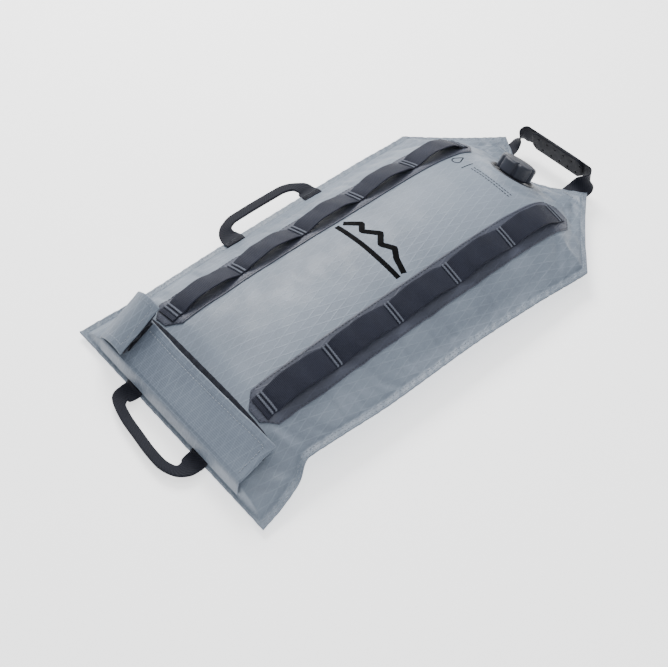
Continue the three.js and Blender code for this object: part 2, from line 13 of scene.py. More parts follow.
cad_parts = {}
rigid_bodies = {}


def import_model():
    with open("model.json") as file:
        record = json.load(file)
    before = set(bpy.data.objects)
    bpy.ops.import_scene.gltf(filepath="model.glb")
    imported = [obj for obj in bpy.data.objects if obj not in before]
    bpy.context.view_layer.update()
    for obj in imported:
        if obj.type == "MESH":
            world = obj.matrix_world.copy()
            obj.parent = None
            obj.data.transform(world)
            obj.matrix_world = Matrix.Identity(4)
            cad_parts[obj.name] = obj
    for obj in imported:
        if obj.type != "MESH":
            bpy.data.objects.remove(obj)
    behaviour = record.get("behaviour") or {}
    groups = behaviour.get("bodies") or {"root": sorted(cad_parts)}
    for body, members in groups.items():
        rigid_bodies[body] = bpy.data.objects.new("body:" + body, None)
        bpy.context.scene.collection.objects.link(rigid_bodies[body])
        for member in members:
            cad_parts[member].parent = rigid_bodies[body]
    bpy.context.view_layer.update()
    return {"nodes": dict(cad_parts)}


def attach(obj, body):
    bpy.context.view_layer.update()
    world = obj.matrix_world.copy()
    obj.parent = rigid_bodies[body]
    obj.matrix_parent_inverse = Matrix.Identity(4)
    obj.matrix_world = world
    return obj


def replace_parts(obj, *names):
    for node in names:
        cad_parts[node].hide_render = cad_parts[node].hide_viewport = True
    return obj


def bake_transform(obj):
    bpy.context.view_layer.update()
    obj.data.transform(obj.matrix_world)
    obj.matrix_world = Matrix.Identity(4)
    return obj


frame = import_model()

MM = 0.001
scene = bpy.context.scene

# ---------------------------------------------------------------- camera
AZIMUTH, ELEVATION, ROLL = (math.radians(a) for a in (48.01, 51.23, 1.045))
LENS = 58.2
TARGET = Vector((18.0, -73.6, 0.0)) * MM
DISTANCE = 1141.7 * MM


def add_camera():
    back = Vector(
        (
            math.sin(AZIMUTH) * math.cos(ELEVATION),
            -math.cos(AZIMUTH) * math.cos(ELEVATION),
            math.sin(ELEVATION),
        )
    )
    level = (-back).cross(Vector((0, 0, 1))).normalized()
    upright = level.cross(-back)
    right = level * math.cos(ROLL) + upright * math.sin(ROLL)
    up = upright * math.cos(ROLL) - level * math.sin(ROLL)
    data = bpy.data.cameras.new("camera")
    data.lens = LENS
    data.sensor_width = 36.0
    camera = bpy.data.objects.new("camera", data)
    scene.collection.objects.link(camera)
    turn = Matrix((right, up, back)).transposed().to_4x4()
    camera.matrix_world = Matrix.Translation(TARGET + back * DISTANCE) @ turn
    scene.camera = camera


add_camera()

# ---------------------------------------------------------------- dimensions shared with the CAD, in mm
SEAM = 8
OUTLINE = [
    (-278, 153, 6),
    (-255, 149.5, 10),
    (-225, 142, 18),
    (-205, 132.5, 30),
    (-170, 134, 29.5),
    (-100, 137.5, 28),
    (0, 138.5, 29),
    (100, 142, 26),
    (180, 146, 20),
    (275, 64, 20),
]
CROWN = [
    (-278, 6.5),
    (-274.5, 9),
    (-271, 27.5),
    (-250, 37.5),
    (-228, 50.5),
    (-205, 60.5),
    (-165, 68),
    (-110, 71.5),
    (60, 71.5),
    (125, 69),
    (165, 62.5),
    (195, 53),
    (225, 35),
    (250, 23),
    (267, 18.5),
    (275, 18.5),
]
BOTTOM, SHOULDER, TOP = -278, 180, 275
NOTCH_DEPTH, NOTCH_DROP, NOTCH_HALF, NOTCH_POWER = 27, 10, 64, 1.3
SPOUT_Y, SPOUT_Z, SPOUT_TILT = 212, 40, math.radians(38)
HOLE_R, FLANGE_R = 28.5, 32.5
MOUTH_Y, MOUTH_HALF, MOUTH_END = -256.5, 92, 6.5  # the slot under the flap and its round ends
LINER_INSET, LINER_LOW, LINER_HIGH, LINER_CORNER = 24, -252, 256, 26
FABRIC_TOP = 1.7  # the shell's outer face stands this far above its guiding surface
FABRIC = 1.0
STRIP_X, WEBBING, WEB_T = 75, 25.4, 1.6
PATCH_HALF, PATCH_CHAMFER, PATCH_LOW, PATCH_HIGH = 21, 13, -224, 214
TACK_FIRST, TACK_STEP, TACKS, TACK_HALF = -208, 81.5, 6, 5
LOOP_RISE = {-1: 8.5, 1: 6.0}
FLAP_LEFT, FLAP_RIGHT, FOLD_Y, FOLD_Z, EDGE_Y, FLAP_SLOPE = -114, 113, -271.5, 31, -228, 0.6
TAB_LEFT, TAB_RIGHT, TAB_LOW, TAB_HIGH, TAB_RISE = -112, -75, -274, -222, 11


# ---------------------------------------------------------------- curves and the bag's surface
def smooth(low, high, value):
    t = np.clip((np.asarray(value, float) - low) / (high - low), 0, 1)
    return t * t * (3 - 2 * t)


def hermite(xs, ys, x, slopes):
    """Cubic through the knots (xs, ys) with the given slopes; ys may hold several columns."""
    xs, ys = np.asarray(xs, float), np.asarray(ys, float)
    x = np.asarray(x, float)
    k = np.clip(np.searchsorted(xs, x, "right") - 1, 0, len(xs) - 2)
    h = xs[k + 1] - xs[k]
    t = np.clip((x - xs[k]) / h, 0, 1)
    if ys.ndim > 1:
        h, t = h[..., None], t[..., None]
    return (
        ys[k] * (1 + 2 * t) * (1 - t) ** 2
        + slopes[k] * h * t * (1 - t) ** 2
        + ys[k + 1] * t * t * (3 - 2 * t)
        + slopes[k + 1] * h * t * t * (t - 1)
    )


def gentle(rows, x, column=1):
    """A smooth curve through a table's points that never overshoots them."""
    xs = np.array([r[0] for r in rows], float)
    ys = np.array([r[column] for r in rows], float)
    d = np.diff(ys) / np.diff(xs)
    slopes = np.zeros(len(xs))
    slopes[0], slopes[-1] = d[0], d[-1]
    both = d[:-1] * d[1:] > 0
    total = np.where(both, d[:-1] + d[1:], 1)
    slopes[1:-1] = np.where(both, 2 * d[:-1] * d[1:] / total, 0)
    return hermite(xs, ys, x, slopes)


def unit(v):
    """Vectors along the last axis, made one long."""
    v = np.asarray(v, float)
    return v / np.linalg.norm(v, axis=-1, keepdims=True).clip(1e-9)


def run_of(points, power=1.0):
    """How far along a line of points each one is, with every step raised to a power."""
    steps = np.linalg.norm(np.diff(points, axis=0), axis=1)
    return np.concatenate([[0], np.cumsum(steps**power)])


def read_along(run, points, where):
    """Points at the given distances along a line."""
    return np.stack([np.interp(where, run, points[:, c]) for c in range(points.shape[1])], -1)


def through(points, count):
    """count points at even steps along a smooth curve through the given ones."""
    points = np.asarray(points, float)
    knots = run_of(points, 0.5)
    slopes = np.gradient(points, knots, axis=0)
    fine = hermite(knots, points, np.linspace(0, knots[-1], 12 * count), slopes)
    run = run_of(fine)
    return read_along(run, fine, np.linspace(0, run[-1], count))


def half_width(row):
    """Half the bag's width at a row; a row is the y that it would have on a bag without the notch."""
    row = np.asarray(row, float)
    side = gentle(OUTLINE[:-1], np.minimum(row, SHOULDER))
    t = np.clip((row - SHOULDER) / (TOP - SHOULDER), 0, 1)
    chamfer = OUTLINE[-2][1] + (OUTLINE[-1][1] - OUTLINE[-2][1]) * t - 3 * np.sin(math.pi * t)
    return np.where(row > SHOULDER, chamfer, side)


def dip(x):
    """How much of the top edge's notch there is at x."""
    return np.maximum(0, 1 - np.abs(np.asarray(x, float) / NOTCH_HALF) ** NOTCH_POWER)


def topness(row):
    """How much a row follows the top edge."""
    return smooth(150, TOP, row)


def row_y(x, row):
    return row - NOTCH_DEPTH * dip(x) * topness(row)


def row_at(x, y):
    """The row through a point, found by repeating row_y backwards."""
    row = np.asarray(y, float)
    for _ in range(14):
        row = y + NOTCH_DEPTH * dip(x) * topness(row)
    return row


def seam_height(x, row):
    return gentle(OUTLINE, row, 2) - NOTCH_DROP * dip(x) * topness(row)


def front_plain(x, row):
    """Height of the front panel's guiding surface before any wrinkle."""
    across = np.clip(np.abs(x) / (half_width(row) - SEAM), 0, 1)
    power = 2 + 2.6 * (1 - smooth(-272, -150, row))
    fullness = (1 - across**power) ** 0.9 * (1 - smooth(258, 271, row))
    seam = seam_height(x, row)
    free = seam + np.maximum(0, gentle(CROWN, row) - seam) * fullness
    y = row_y(x, row)
    plane = SPOUT_Z - math.tan(SPOUT_TILT) * (y - SPOUT_Y)
    reach = np.hypot(x, (y - SPOUT_Y) / math.cos(SPOUT_TILT))
    return free + (plane - free) * (1 - smooth(FLANGE_R, FLANGE_R + 20, reach))


def back_plain(x, row):
    """Height of the back panel: flat on the ground, and up to the seam round its border."""
    across = np.abs(x) / (half_width(row) - SEAM)
    side = smooth(0.6, 1, across)
    end = np.maximum(smooth(215, 272, row), 1 - smooth(-274, -252, row))
    return seam_height(x, row) * (1 - (1 - side) * (1 - end))


def crowd(t):
    """Spread columns from -1 to 1 so that they crowd towards the bag's edges."""
    return np.sign(t) * (1 - (1 - np.abs(t)) ** 1.25)


def uncrowd(u):
    return np.sign(u) * (1 - (1 - np.clip(np.abs(u), 0, 1)) ** 0.8)


# ---------------------------------------------------------------- meshes
def normals_of(grid):
    across = np.gradient(grid, axis=1)
    down = np.gradient(grid, axis=0)
    return unit(np.cross(across, down))


def arc_uv(grid):
    """Distances along a grid's middle column and rows, in metres, for a weave to follow."""
    along = np.linalg.norm(np.diff(grid, axis=0), axis=2).mean(1)
    v = np.concatenate([[0], np.cumsum(along)])
    across = np.linalg.norm(np.diff(grid, axis=1), axis=2)
    u = np.concatenate([np.zeros((len(grid), 1)), np.cumsum(across, axis=1)], 1)
    u = u - u[:, -1:] / 2
    return np.stack([u, np.broadcast_to(v[:, None], u.shape)], 2) * MM


def new_object(name, verts, faces, uvs=None, soft=True):
    """An object of points in millimetres, shaded smooth unless soft is False."""
    mesh = bpy.data.meshes.new(name)
    listed = faces.tolist() if isinstance(faces, np.ndarray) else faces
    mesh.from_pydata((np.asarray(verts) * MM).tolist(), [], listed)
    if uvs is not None:
        layer = mesh.uv_layers.new(name="UVMap")
        index = np.zeros(len(mesh.loops), np.int32)
        mesh.loops.foreach_get("vertex_index", index)
        layer.data.foreach_set("uv", uvs[index].astype(np.float32).ravel())
    if soft:
        mesh.polygons.foreach_set("use_smooth", np.ones(len(mesh.polygons), bool))
    mesh.update()
    obj = bpy.data.objects.new(name, mesh)
    scene.collection.objects.link(obj)
    return obj


def outward(obj):
    """Makes a closed mesh's faces point outwards."""
    work = bmesh.new()
    work.from_mesh(obj.data)
    bmesh.ops.remove_doubles(work, verts=work.verts, dist=1e-7)
    bmesh.ops.recalc_face_normals(work, faces=work.faces)
    work.to_mesh(obj.data)
    work.free()
    obj.data.update()


def tube_faces(rings, start):
    """Faces of a closed tube over rings of six points, the first point being number start."""
    faces = []
    for j in range(rings - 1):
        a = start + 6 * j + np.arange(6)
        b = start + 6 * j + np.roll(np.arange(6), -1)
        faces += np.stack([a, b, b + 6, a + 6], 1).tolist()
    last = start + 6 * (rings - 1)
    return faces + [[start + i for i in range(5, -1, -1)], [last + i for i in range(6)]]


def prism(name, low, high):
    """A closed solid between two rings of as many points, for cutting with."""
    count = len(low)
    sides = [(k, (k + 1) % count, (k + 1) % count + count, k + count) for k in range(count)]
    caps = [list(range(count))[::-1], list(range(count, 2 * count))]
    obj = new_object(name, np.concatenate([low, high]), [*caps, *sides], soft=False)
    outward(obj)
    return obj


def two_sided(name, top, bottom):
    """One closed mesh between two grids of the same shape, top above bottom."""
    rows, cols = top.shape[:2]
    uv = arc_uv(top)
    idx = np.arange(rows * cols).reshape(rows, cols)
    low = idx + rows * cols
    a, b, c, d = idx[:-1, :-1], idx[:-1, 1:], idx[1:, 1:], idx[1:, :-1]
    faces = [np.stack([a, b, c, d], 2).reshape(-1, 4)]
    a, b, c, d = low[:-1, :-1], low[:-1, 1:], low[1:, 1:], low[1:, :-1]
    faces.append(np.stack([a, d, c, b], 2).reshape(-1, 4))
    edges = [
        (idx[0, :], low[0, :], True),
        (idx[-1, :], low[-1, :], False),
        (idx[:, 0], low[:, 0], False),
        (idx[:, -1], low[:, -1], True),
    ]
    for up, down, flip in edges:
        quad = np.stack([up[:-1], up[1:], down[1:], down[:-1]], 1)
        faces.append(quad[:, ::-1] if flip else quad)
    verts = np.concatenate([top.reshape(-1, 3), bottom.reshape(-1, 3)])
    uvs = np.concatenate([uv.reshape(-1, 2), uv.reshape(-1, 2)])
    return new_object(name, verts, np.concatenate(faces), uvs)


def rounded(shape, thick, rows=2, cols=2):
    """A sheet's thickness over its grid, thinned at the border so that its edge looks round."""
    t = np.full(shape, float(thick))
    fade = [0.35, 0.8, 1.0]
    for k in range(rows):
        t[k, :] = np.minimum(t[k, :], thick * fade[k])
        t[-1 - k, :] = np.minimum(t[-1 - k, :], thick * fade[k])
    for k in range(cols):
        t[:, k] = np.minimum(t[:, k], thick * fade[k])
        t[:, -1 - k] = np.minimum(t[:, -1 - k], thick * fade[k])
    return t


def edged(low, high, count, margin=0.35):
    """Even samples from low to high with two more close inside each end."""
    inner = np.linspace(low, high, count + 1)[1:-1]
    first = [low, low + margin, low + 2.2 * margin]
    last = [high - 2.2 * margin, high - margin, high]
    return np.concatenate([first, inner, last])


def sheet_piece(name, grid, thick):
    """A closed sheet around a grid of mid-surface points."""
    n = normals_of(grid)
    t = np.broadcast_to(thick, grid.shape[:2])[..., None]
    return two_sided(name, grid + n * t / 2, grid - n * t / 2)


def cut_with(obj, cutters):
    """Cuts the given objects out of obj and deletes them."""
    for cutter in cutters:
        modifier = obj.modifiers.new("cut", "BOOLEAN")
        modifier.operation = "DIFFERENCE"
        modifier.solver = "EXACT"
        modifier.object = cutter
    depsgraph = bpy.context.evaluated_depsgraph_get()
    mesh = bpy.data.meshes.new_from_object(obj.evaluated_get(depsgraph), depsgraph=depsgraph)
    old = obj.data
    obj.modifiers.clear()
    obj.data = mesh
    bpy.data.meshes.remove(old)
    for cutter in cutters:
        bpy.data.objects.remove(cutter)


def spout_place(points):
    """Points in the spout's own frame (x, up the slope, along the axis) to the bag's frame."""
    c, s = math.cos(SPOUT_TILT), math.sin(SPOUT_TILT)
    x, y, z = points.T
    return np.stack([x, SPOUT_Y + y * c + z * s, SPOUT_Z - y * s + z * c], 1)


def turned(name, profile, sides, shape=None):
    """A closed lathe about the spout's axis: profile is (radius, height above the flange)."""
    angles = np.linspace(0, 2 * math.pi, sides, endpoint=False)
    rings = []
    for r, h in profile:
        radius = np.full(sides, float(r)) if shape is None else shape(r, h, angles)
        rings.append(np.stack([radius * np.cos(angles), radius * np.sin(angles), np.full(sides, h)], 1))
    count = len(profile)
    faces = []
    for k in range(count):
        a = k * sides + np.arange(sides)
        b = ((k + 1) % count) * sides + np.arange(sides)
        faces.append(np.stack([a, np.roll(a, -1), np.roll(b, -1), b], 1))
    uv = np.stack([np.tile(angles * 20, count), np.repeat([h for _, h in profile], sides)], 1) * MM
    obj = new_object(name, spout_place(np.concatenate(rings)), np.concatenate(faces), uv)
    outward(obj)
    return obj


# ---------------------------------------------------------------- puffed cloth between the seams
def pillow_cloth():
    """Inflates a slightly oversized copy of the bag, held at its seams, and returns how far its
    front and back moved: (rows, columns, front movement, back movement)."""
    rows = np.concatenate([[BOTTOM, -274.5, -272.5, -271, -267.5], np.linspace(-263, 265, 107), [270, TOP]])
    cols = np.linspace(-1, 1, 63)
    row, t = np.meshgrid(rows, cols, indexing="ij")
    x = (half_width(row) - SEAM) * crowd(t)
    y = row_y(x, row)
    front, back = front_plain(x, row), back_plain(x, row)
    idx = np.arange(row.size).reshape(row.shape)
    under = idx + row.size
    rim = np.zeros(row.shape, bool)
    rim[0], rim[-1], rim[:, 0], rim[:, -1] = True, True, True, True
    under[rim] = idx[rim]
    verts = np.concatenate([np.stack([x, y, z], 2).reshape(-1, 3) for z in (front, back)])
    used, index = np.unique(np.concatenate([idx.ravel(), under.ravel()]), return_inverse=True)
    index = index.reshape(2, *row.shape)
    quads = []
    for k, g in enumerate(index):
        quad = np.stack([g[:-1, :-1], g[:-1, 1:], g[1:, 1:], g[1:, :-1]], 2).reshape(-1, 4)
        quads.append(quad if k == 0 else quad[:, ::-1])
    obj = new_object("pillow", verts[used], np.concatenate(quads))
    held = obj.vertex_groups.new(name="held")
    spout = np.hypot(x, (y - SPOUT_Y) / math.cos(SPOUT_TILT)) < FLANGE_R + 3
    held.add([int(i) for i in np.unique(index[0][rim | spout])], 1.0, "REPLACE")
    cloth = obj.modifiers.new("cloth", "CLOTH")
    s = cloth.settings
    s.quality = 7
    s.mass = 0.25
    s.tension_stiffness = s.compression_stiffness = 18
    s.shear_stiffness = 8
    s.bending_stiffness = 0.35
    s.tension_damping = s.compression_damping = 12
    s.air_damping = 4
    s.vertex_group_mass = "held"
    s.shrink_min = -0.022
    s.use_pressure = True
    s.uniform_pressure_force = 9
    s.effector_weights.gravity = 0
    cloth.collision_settings.use_collision = False
    cloth.point_cache.frame_start, cloth.point_cache.frame_end = 1, 22
    for frame_number in range(1, 23):
        scene.frame_set(frame_number)
    settled = obj.evaluated_get(bpy.context.evaluated_depsgraph_get()).data
    co = np.empty(len(settled.vertices) * 3)
    settled.vertices.foreach_get("co", co)
    co = co.reshape(-1, 3) / MM
    scene.frame_set(1)
    mesh = obj.data
    bpy.data.objects.remove(obj)
    bpy.data.meshes.remove(mesh)
    moved = [co[g][:, :, 2] - z for g, z in zip(index, (front, back))]
    return rows, cols, moved[0], moved[1]


def blurred(field, reach):
    """The field averaged over a bell-shaped window of that many cells."""
    weights = np.exp(-0.5 * (np.arange(-3 * reach, 3 * reach + 1) / reach) ** 2)
    weights /= weights.sum()
    for axis in (0, 1):
        pads = [(0, 0), (0, 0)]
        pads[axis] = (3 * reach, 3 * reach)
        wide = np.pad(field, pads, "edge")
        field = np.apply_along_axis(lambda line: np.convolve(line, weights, "valid"), axis, wide)
    return field


# Where the shell's own mesh has its rows and columns.
ROWS = np.concatenate(
    [np.linspace(BOTTOM, -269.5, 20), np.linspace(-268.2, 268.5, 316), np.linspace(269.4, TOP, 7)]
)
COLS = np.linspace(-1, 1, 187)


def refine(rows, cols, field):
    tall = hermite(rows, field, ROWS, np.gradient(field, rows, axis=0))
    return hermite(cols, tall.T, COLS, np.gradient(tall.T, cols, axis=0)).T


# Folds pressed into the front panel: two ends, half width and height (a valley is below 0).
FOLDS = [
    (98, -207, 130, -197, 5.5, -3.2),
    (97, -219, 134, -206, 5.0, 1.6),
    (104, -243, 138, -224, 6.0, -2.6),
    (118, -262, 142, -241, 5.0, -1.8),
    (104, -188, 131, -176, 6.5, -1.4),
    (122, -132, 138, -110, 5.0, -1.6),
    (118, -96, 136, -80, 5.0, -1.3),
    (-98, -200, -130, -203, 5.5, -2.2),
    (-104, -236, -136, -221, 6.0, -1.8),
    (-112, -262, -140, -246, 5.0, -1.3),
    (-64, 250, -122, 176, 4.5, -2.0),
    (-72, 254, -132, 182, 4.0, 0.9),
    (-96, 214, -58, 232, 5.0, -1.3),
    (-128, 150, -100, 182, 6.0, -1.5),
    (64, 250, 124, 174, 5.0, -1.6),
    (97, 208, 66, 228, 5.5, -1.4),
    (130, 140, 106, 176, 6.0, -1.3),
    (-36, 244, -52, 262, 4.0, -0.9),
    (34, 246, 50, 264, 4.0, -0.9),
    (121, -62, 125, 118, 12.0, -4.2),
    (-121, -50, -125, 120, 11.0, -2.6),
    (102, -176, 108, -60, 10.0, -1.6),
]


def folds(x, y):
    """The pressed folds, plus a slow unevenness over the whole panel."""
    z = np.zeros(np.shape(x))
    for x0, y0, x1, y1, width, height in FOLDS:
        dx, dy = x1 - x0, y1 - y0
        length = math.hypot(dx, dy)
        along = ((x - x0) * dx + (y - y0) * dy) / length**2
        off = ((x - x0) * dy - (y - y0) * dx) / length
        off = off + 1.6 * np.sin(along * 5 + x0)
        reach = smooth(-0.35, 0.25, along) * (1 - smooth(0.75, 1.3, along))
        z = z + height * reach * np.exp(-((off / width) ** 2))
    z = z + 0.32 * np.sin(x * 0.043 + 1.3) * np.sin(y * 0.031 + 0.4)
    return z + 0.16 * np.sin(x * 0.11 + y * 0.05) * np.sin(y * 0.083 - x * 0.03)


# the same for every point of the shell: its row, place across, x, y and how calm the cloth is there
row_grid, t_grid = np.meshgrid(ROWS, COLS, indexing="ij")
X = half_width(row_grid) * crowd(t_grid)
Y = row_y(X, row_grid)
inside = np.clip((half_width(row_grid) - SEAM - np.abs(X)) / 14, 0, 1)
ends = np.clip((row_grid + 271) / 14, 0, 1) * np.clip((268 - row_grid) / 10, 0, 1)
free_of_spout = smooth(FLANGE_R + 1, FLANGE_R + 12, np.hypot(X, (Y - SPOUT_Y) / math.cos(SPOUT_TILT)))
calm = inside**0.5 * ends * free_of_spout
PUFF_LIMIT = 3.4
PUFF = np.zeros(X.shape)
BACK_PUFF = np.zeros(X.shape)
sim_rows, sim_cols, front_moved, back_moved = pillow_cloth()
# the cloth's columns end at the seam line, so they are read at the same places across
share = (half_width(row_grid) - SEAM) / half_width(row_grid)
for moved, keep in ((front_moved, PUFF), (back_moved, BACK_PUFF)):
    detail = moved - blurred(moved, 7)
    detail = PUFF_LIMIT * np.tanh(detail / PUFF_LIMIT)
    fine = refine(sim_rows, sim_cols, detail)
    place = uncrowd(np.clip(crowd(t_grid) / share, -1, 1))
    for k in range(len(ROWS)):
        keep[k] = np.interp(place[k], COLS, fine[k])
# the front's middle is stretched smooth, so the small puffs stay round its edges
slack = np.maximum(smooth(72, 116, np.abs(X)), np.maximum(smooth(165, 235, Y), 1 - smooth(-246, -196, Y)))
WRINKLE = (PUFF * (0.12 + 0.88 * slack) + folds(X, Y)) * calm


def pucker(x, row):
    """Small waves of the sewn seam allowance."""
    s = row + 0.7 * x
    return 0.22 * np.sin(s * 0.55) + 0.2 * np.sin(s * 0.31 + 1.7) + 0.14 * np.sin(s * 0.83 + 0.6)


def allowance(x, row):
    """1 on the flat seam allowance and 0 inside it."""
    sides = smooth(-2, 1.5, np.abs(x) - (half_width(row) - SEAM))
    return np.maximum(sides, np.maximum(1 - smooth(-275.5, -273.5, row), smooth(267, 270, row)))


def skin(x, row):
    """Height of the shell's outer face at a surface row."""
    t = uncrowd(x / half_width(row))
    r = np.interp(row, ROWS, np.arange(len(ROWS)))
    c = (np.clip(t, -1, 1) + 1) / 2 * (len(COLS) - 1)
    r0 = np.clip(r.astype(int), 0, len(ROWS) - 2)
    c0 = np.clip(c.astype(int), 0, len(COLS) - 2)
    fr, fc = r - r0, c - c0
    w = WRINKLE
    near = w[r0, c0] * (1 - fc) + w[r0, c0 + 1] * fc
    far = w[r0 + 1, c0] * (1 - fc) + w[r0 + 1, c0 + 1] * fc
    edge = allowance(x, row)
    return front_plain(x, row) + near * (1 - fr) + far * fr + FABRIC_TOP + edge * (pucker(x, row) - 0.5)


def film_level(x, row, side):
    """The liner's outer face, a little inside the shell: side is 1 for its front and -1 for its back."""
    high = np.minimum(front_plain(x, row), skin(x, row) - FABRIC_TOP) - 2.4
    low = back_plain(x, row) + 3.6
    return (high + low) / 2 + side * np.maximum(0.25, (high - low) / 2)


def on_bag(x, y):
    """Height of the shell's outer face above a point of the bag."""
    x, y = np.broadcast_arrays(np.asarray(x, float), np.asarray(y, float))
    return skin(x, row_at(x, y))


def laid(xs, ys, lift):
    """A grid of points over the shell's outer face, with ys as rows and xs as columns."""
    x, y = np.broadcast_arrays(xs, ys)
    return np.stack([x, y, on_bag(x, y) + lift], 2)


# ---------------------------------------------------------------- node materials
def rgb(r, g, b):
    """A display colour as the linear colour a shader takes."""
    linear = [(c / 255 / 12.92) if c <= 10 else ((c / 255 + 0.055) / 1.055) ** 2.4 for c in (r, g, b)]
    return (*linear, 1.0)


class Paint:
    """A material being built; each method adds nodes and returns an output socket."""

    def __init__(self, name, roughness, specular=0.4, sheen=0.0):
        self.material = bpy.data.materials.new(name)
        self.material.use_nodes = True
        self.tree = self.material.node_tree
        self.shader = self.tree.nodes["Principled BSDF"]
        self.shader.inputs["Roughness"].default_value = roughness
        self.shader.inputs["Specular IOR Level"].default_value = specular
        self.shader.inputs["Sheen Weight"].default_value = sheen
        self.height = None

    def plug(self, made, names, values):
        """Links or sets each of these inputs of a node."""
        for name, value in zip(names, values):
            if isinstance(value, bpy.types.NodeSocket):
                self.tree.links.new(value, made.inputs[name])
            else:
                made.inputs[name].default_value = value

    def node(self, kind, settings=None, inputs=None):
        made = self.tree.nodes.new(kind)
        for key, value in (settings or {}).items():
            setattr(made, key, value)
        inputs = inputs or {}
        self.plug(made, inputs.keys(), inputs.values())
        return made

    def coords(self, kind="UV", turn=0.0):
        source = self.node("ShaderNodeTexCoord").outputs[kind]
        mapped = self.node("ShaderNodeMapping", None, {"Vector": source, "Rotation": (0, 0, turn)})
        return mapped.outputs["Vector"]

    def noise(self, scale, detail=3.0):
        inputs = {"Vector": self.coords("Object"), "Scale": scale, "Detail": detail, "Roughness": 0.55}
        return self.node("ShaderNodeTexNoise", None, inputs).outputs["Fac"]

    def waves(self, period, where, axis="X", wobble=0.0):
        """Bands with this period in metres along an axis."""
        made = self.node(
            "ShaderNodeTexWave",
            {"bands_direction": axis, "wave_profile": "SIN"},
            {"Vector": where, "Scale": 0.31416 / period, "Distortion": wobble, "Detail": 1.0},
        )
        return made.outputs["Fac"]

    def math(self, operation, a, b=0.5, clamp=False):
        made = self.node("ShaderNodeMath", {"operation": operation, "use_clamp": clamp})
        self.plug(made, (0, 1), (a, b))
        return made.outputs[0]

    def between(self, value, low, high, out_low=0.0, out_high=1.0):
        made = self.node(
            "ShaderNodeMapRange",
            {"interpolation_type": "SMOOTHSTEP"},
            {"Value": value, "From Min": low, "From Max": high, "To Min": out_low, "To Max": out_high},
        )
        return made.outputs["Result"]

    def mix(self, factor, a, b):
        made = self.node("ShaderNodeMix", {"data_type": "RGBA"})
        self.plug(made, (0, 6, 7), (factor, a, b))
        return made.outputs[2]

    def bump(self, height, distance, strength=1.0):
        inputs = {"Height": height, "Distance": distance, "Strength": strength}
        if self.height is not None:
            inputs["Normal"] = self.height
        self.height = self.node("ShaderNodeBump", None, inputs).outputs["Normal"]

    def done(self, color, roughness=None):
        self.plug(self.shader, ["Base Color"], [color])
        if roughness is not None:
            self.tree.links.new(roughness, self.shader.inputs["Roughness"])
        if self.height is not None:
            self.tree.links.new(self.height, self.shader.inputs["Normal"])
        return self.material


def sailcloth(name, base, light, ribbed=False):
    """Laminated woven cloth with a faint crossed grid of thicker threads."""
    p = Paint(name, 0.5, specular=0.42, sheen=0.08)
    uv = p.coords()
    cross = None
    for angle in (17, -17):
        tilted = p.coords(turn=math.radians(angle))
        band = p.between(p.waves(0.0095, tilted, wobble=0.25), 0.93, 0.995)
        cross = band if cross is None else p.math("MAXIMUM", cross, band)
    patchy = p.between(p.noise(26, 2), 0.3, 0.75)
    lines = p.math("MULTIPLY", cross, p.math("MULTIPLY_ADD", patchy, 0.45), clamp=True)
    warp, weft = p.waves(0.00085, uv), p.waves(0.00085, uv, "Y")
    weave = p.math("MULTIPLY", warp, weft)
    speck = p.between(p.noise(950, 2), 0.35, 0.7)
    cloudy = p.between(p.noise(9, 3), 0.35, 0.65)
    color = p.mix(p.math("MULTIPLY", cloudy, 0.3), base, light)
    color = p.mix(p.math("MULTIPLY", speck, 0.16), color, light)
    color = p.mix(p.math("MULTIPLY", lines, 0.34), color, light)
    if ribbed:
        ribs = p.waves(0.0021, uv, "Y")
        p.bump(ribs, 0.00012, 0.6)
        color = p.mix(p.math("MULTIPLY", ribs, 0.1), color, light)
    p.bump(weave, 0.00008, 0.5)
    p.bump(lines, 0.00018, 0.7)
    p.bump(p.noise(160, 4), 0.0003, 0.35)
    rough = p.between(p.noise(40, 3), 0.3, 0.7, 0.43, 0.56)
    return p.done(color, rough)


def woven(name, base, light, diagonal=False, rib=0.0016):
    """Narrow woven webbing: ribs across it and fine threads along it."""
    p = Paint(name, 0.68, specular=0.22, sheen=0.04)
    uv = p.coords(turn=math.radians(38 if diagonal else 0))
    ribs = p.waves(rib, uv, "Y", wobble=0.2)
    threads = p.waves(0.0011, uv, "X")
    both = p.math("MULTIPLY", ribs, p.math("MULTIPLY_ADD", threads, 0.6))
    wear = p.between(p.noise(60, 4), 0.3, 0.75)
    color = p.mix(p.math("MULTIPLY", both, 0.5), base, light)
    color = p.mix(p.math("MULTIPLY", wear, 0.2), color, light)
    p.bump(both, 0.0003, 0.8)
    p.bump(p.noise(700, 2), 0.0001, 0.5)
    return p.done(color)


def napped(name, base, light):
    """Hook or loop tape: short fuzzy pile."""
    p = Paint(name, 0.9, specular=0.1, sheen=0.12)
    pile = p.noise(1400, 2)
    clumps = p.between(p.noise(260, 3), 0.35, 0.7)
    p.bump(pile, 0.0006, 1.0)
    return p.done(p.mix(p.math("MULTIPLY", p.math("ADD", pile, clumps), 0.4), base, light))


def moulded(name, base, light, roughness, grain=900, specular=0.45):
    """Moulded plastic with a fine satin grain."""
    p = Paint(name, roughness, specular=specular)
    p.bump(p.noise(grain, 2), 0.00006, 0.6)
    cloudy = p.between(p.noise(45, 3), 0.3, 0.7)
    rough = p.between(p.noise(120, 3), 0.3, 0.7, roughness - 0.05, roughness + 0.07)
    return p.done(p.mix(p.math("MULTIPLY", cloudy, 0.35), base, light), rough)


def thread(name, base, light):
    """Twisted sewing thread."""
    p = Paint(name, 0.55, specular=0.35, sheen=0.1)
    twist = p.waves(0.0009, p.coords("Object", turn=math.radians(35)))
    p.bump(twist, 0.00015, 0.7)
    return p.done(p.mix(p.math("MULTIPLY", twist, 0.5), base, light))


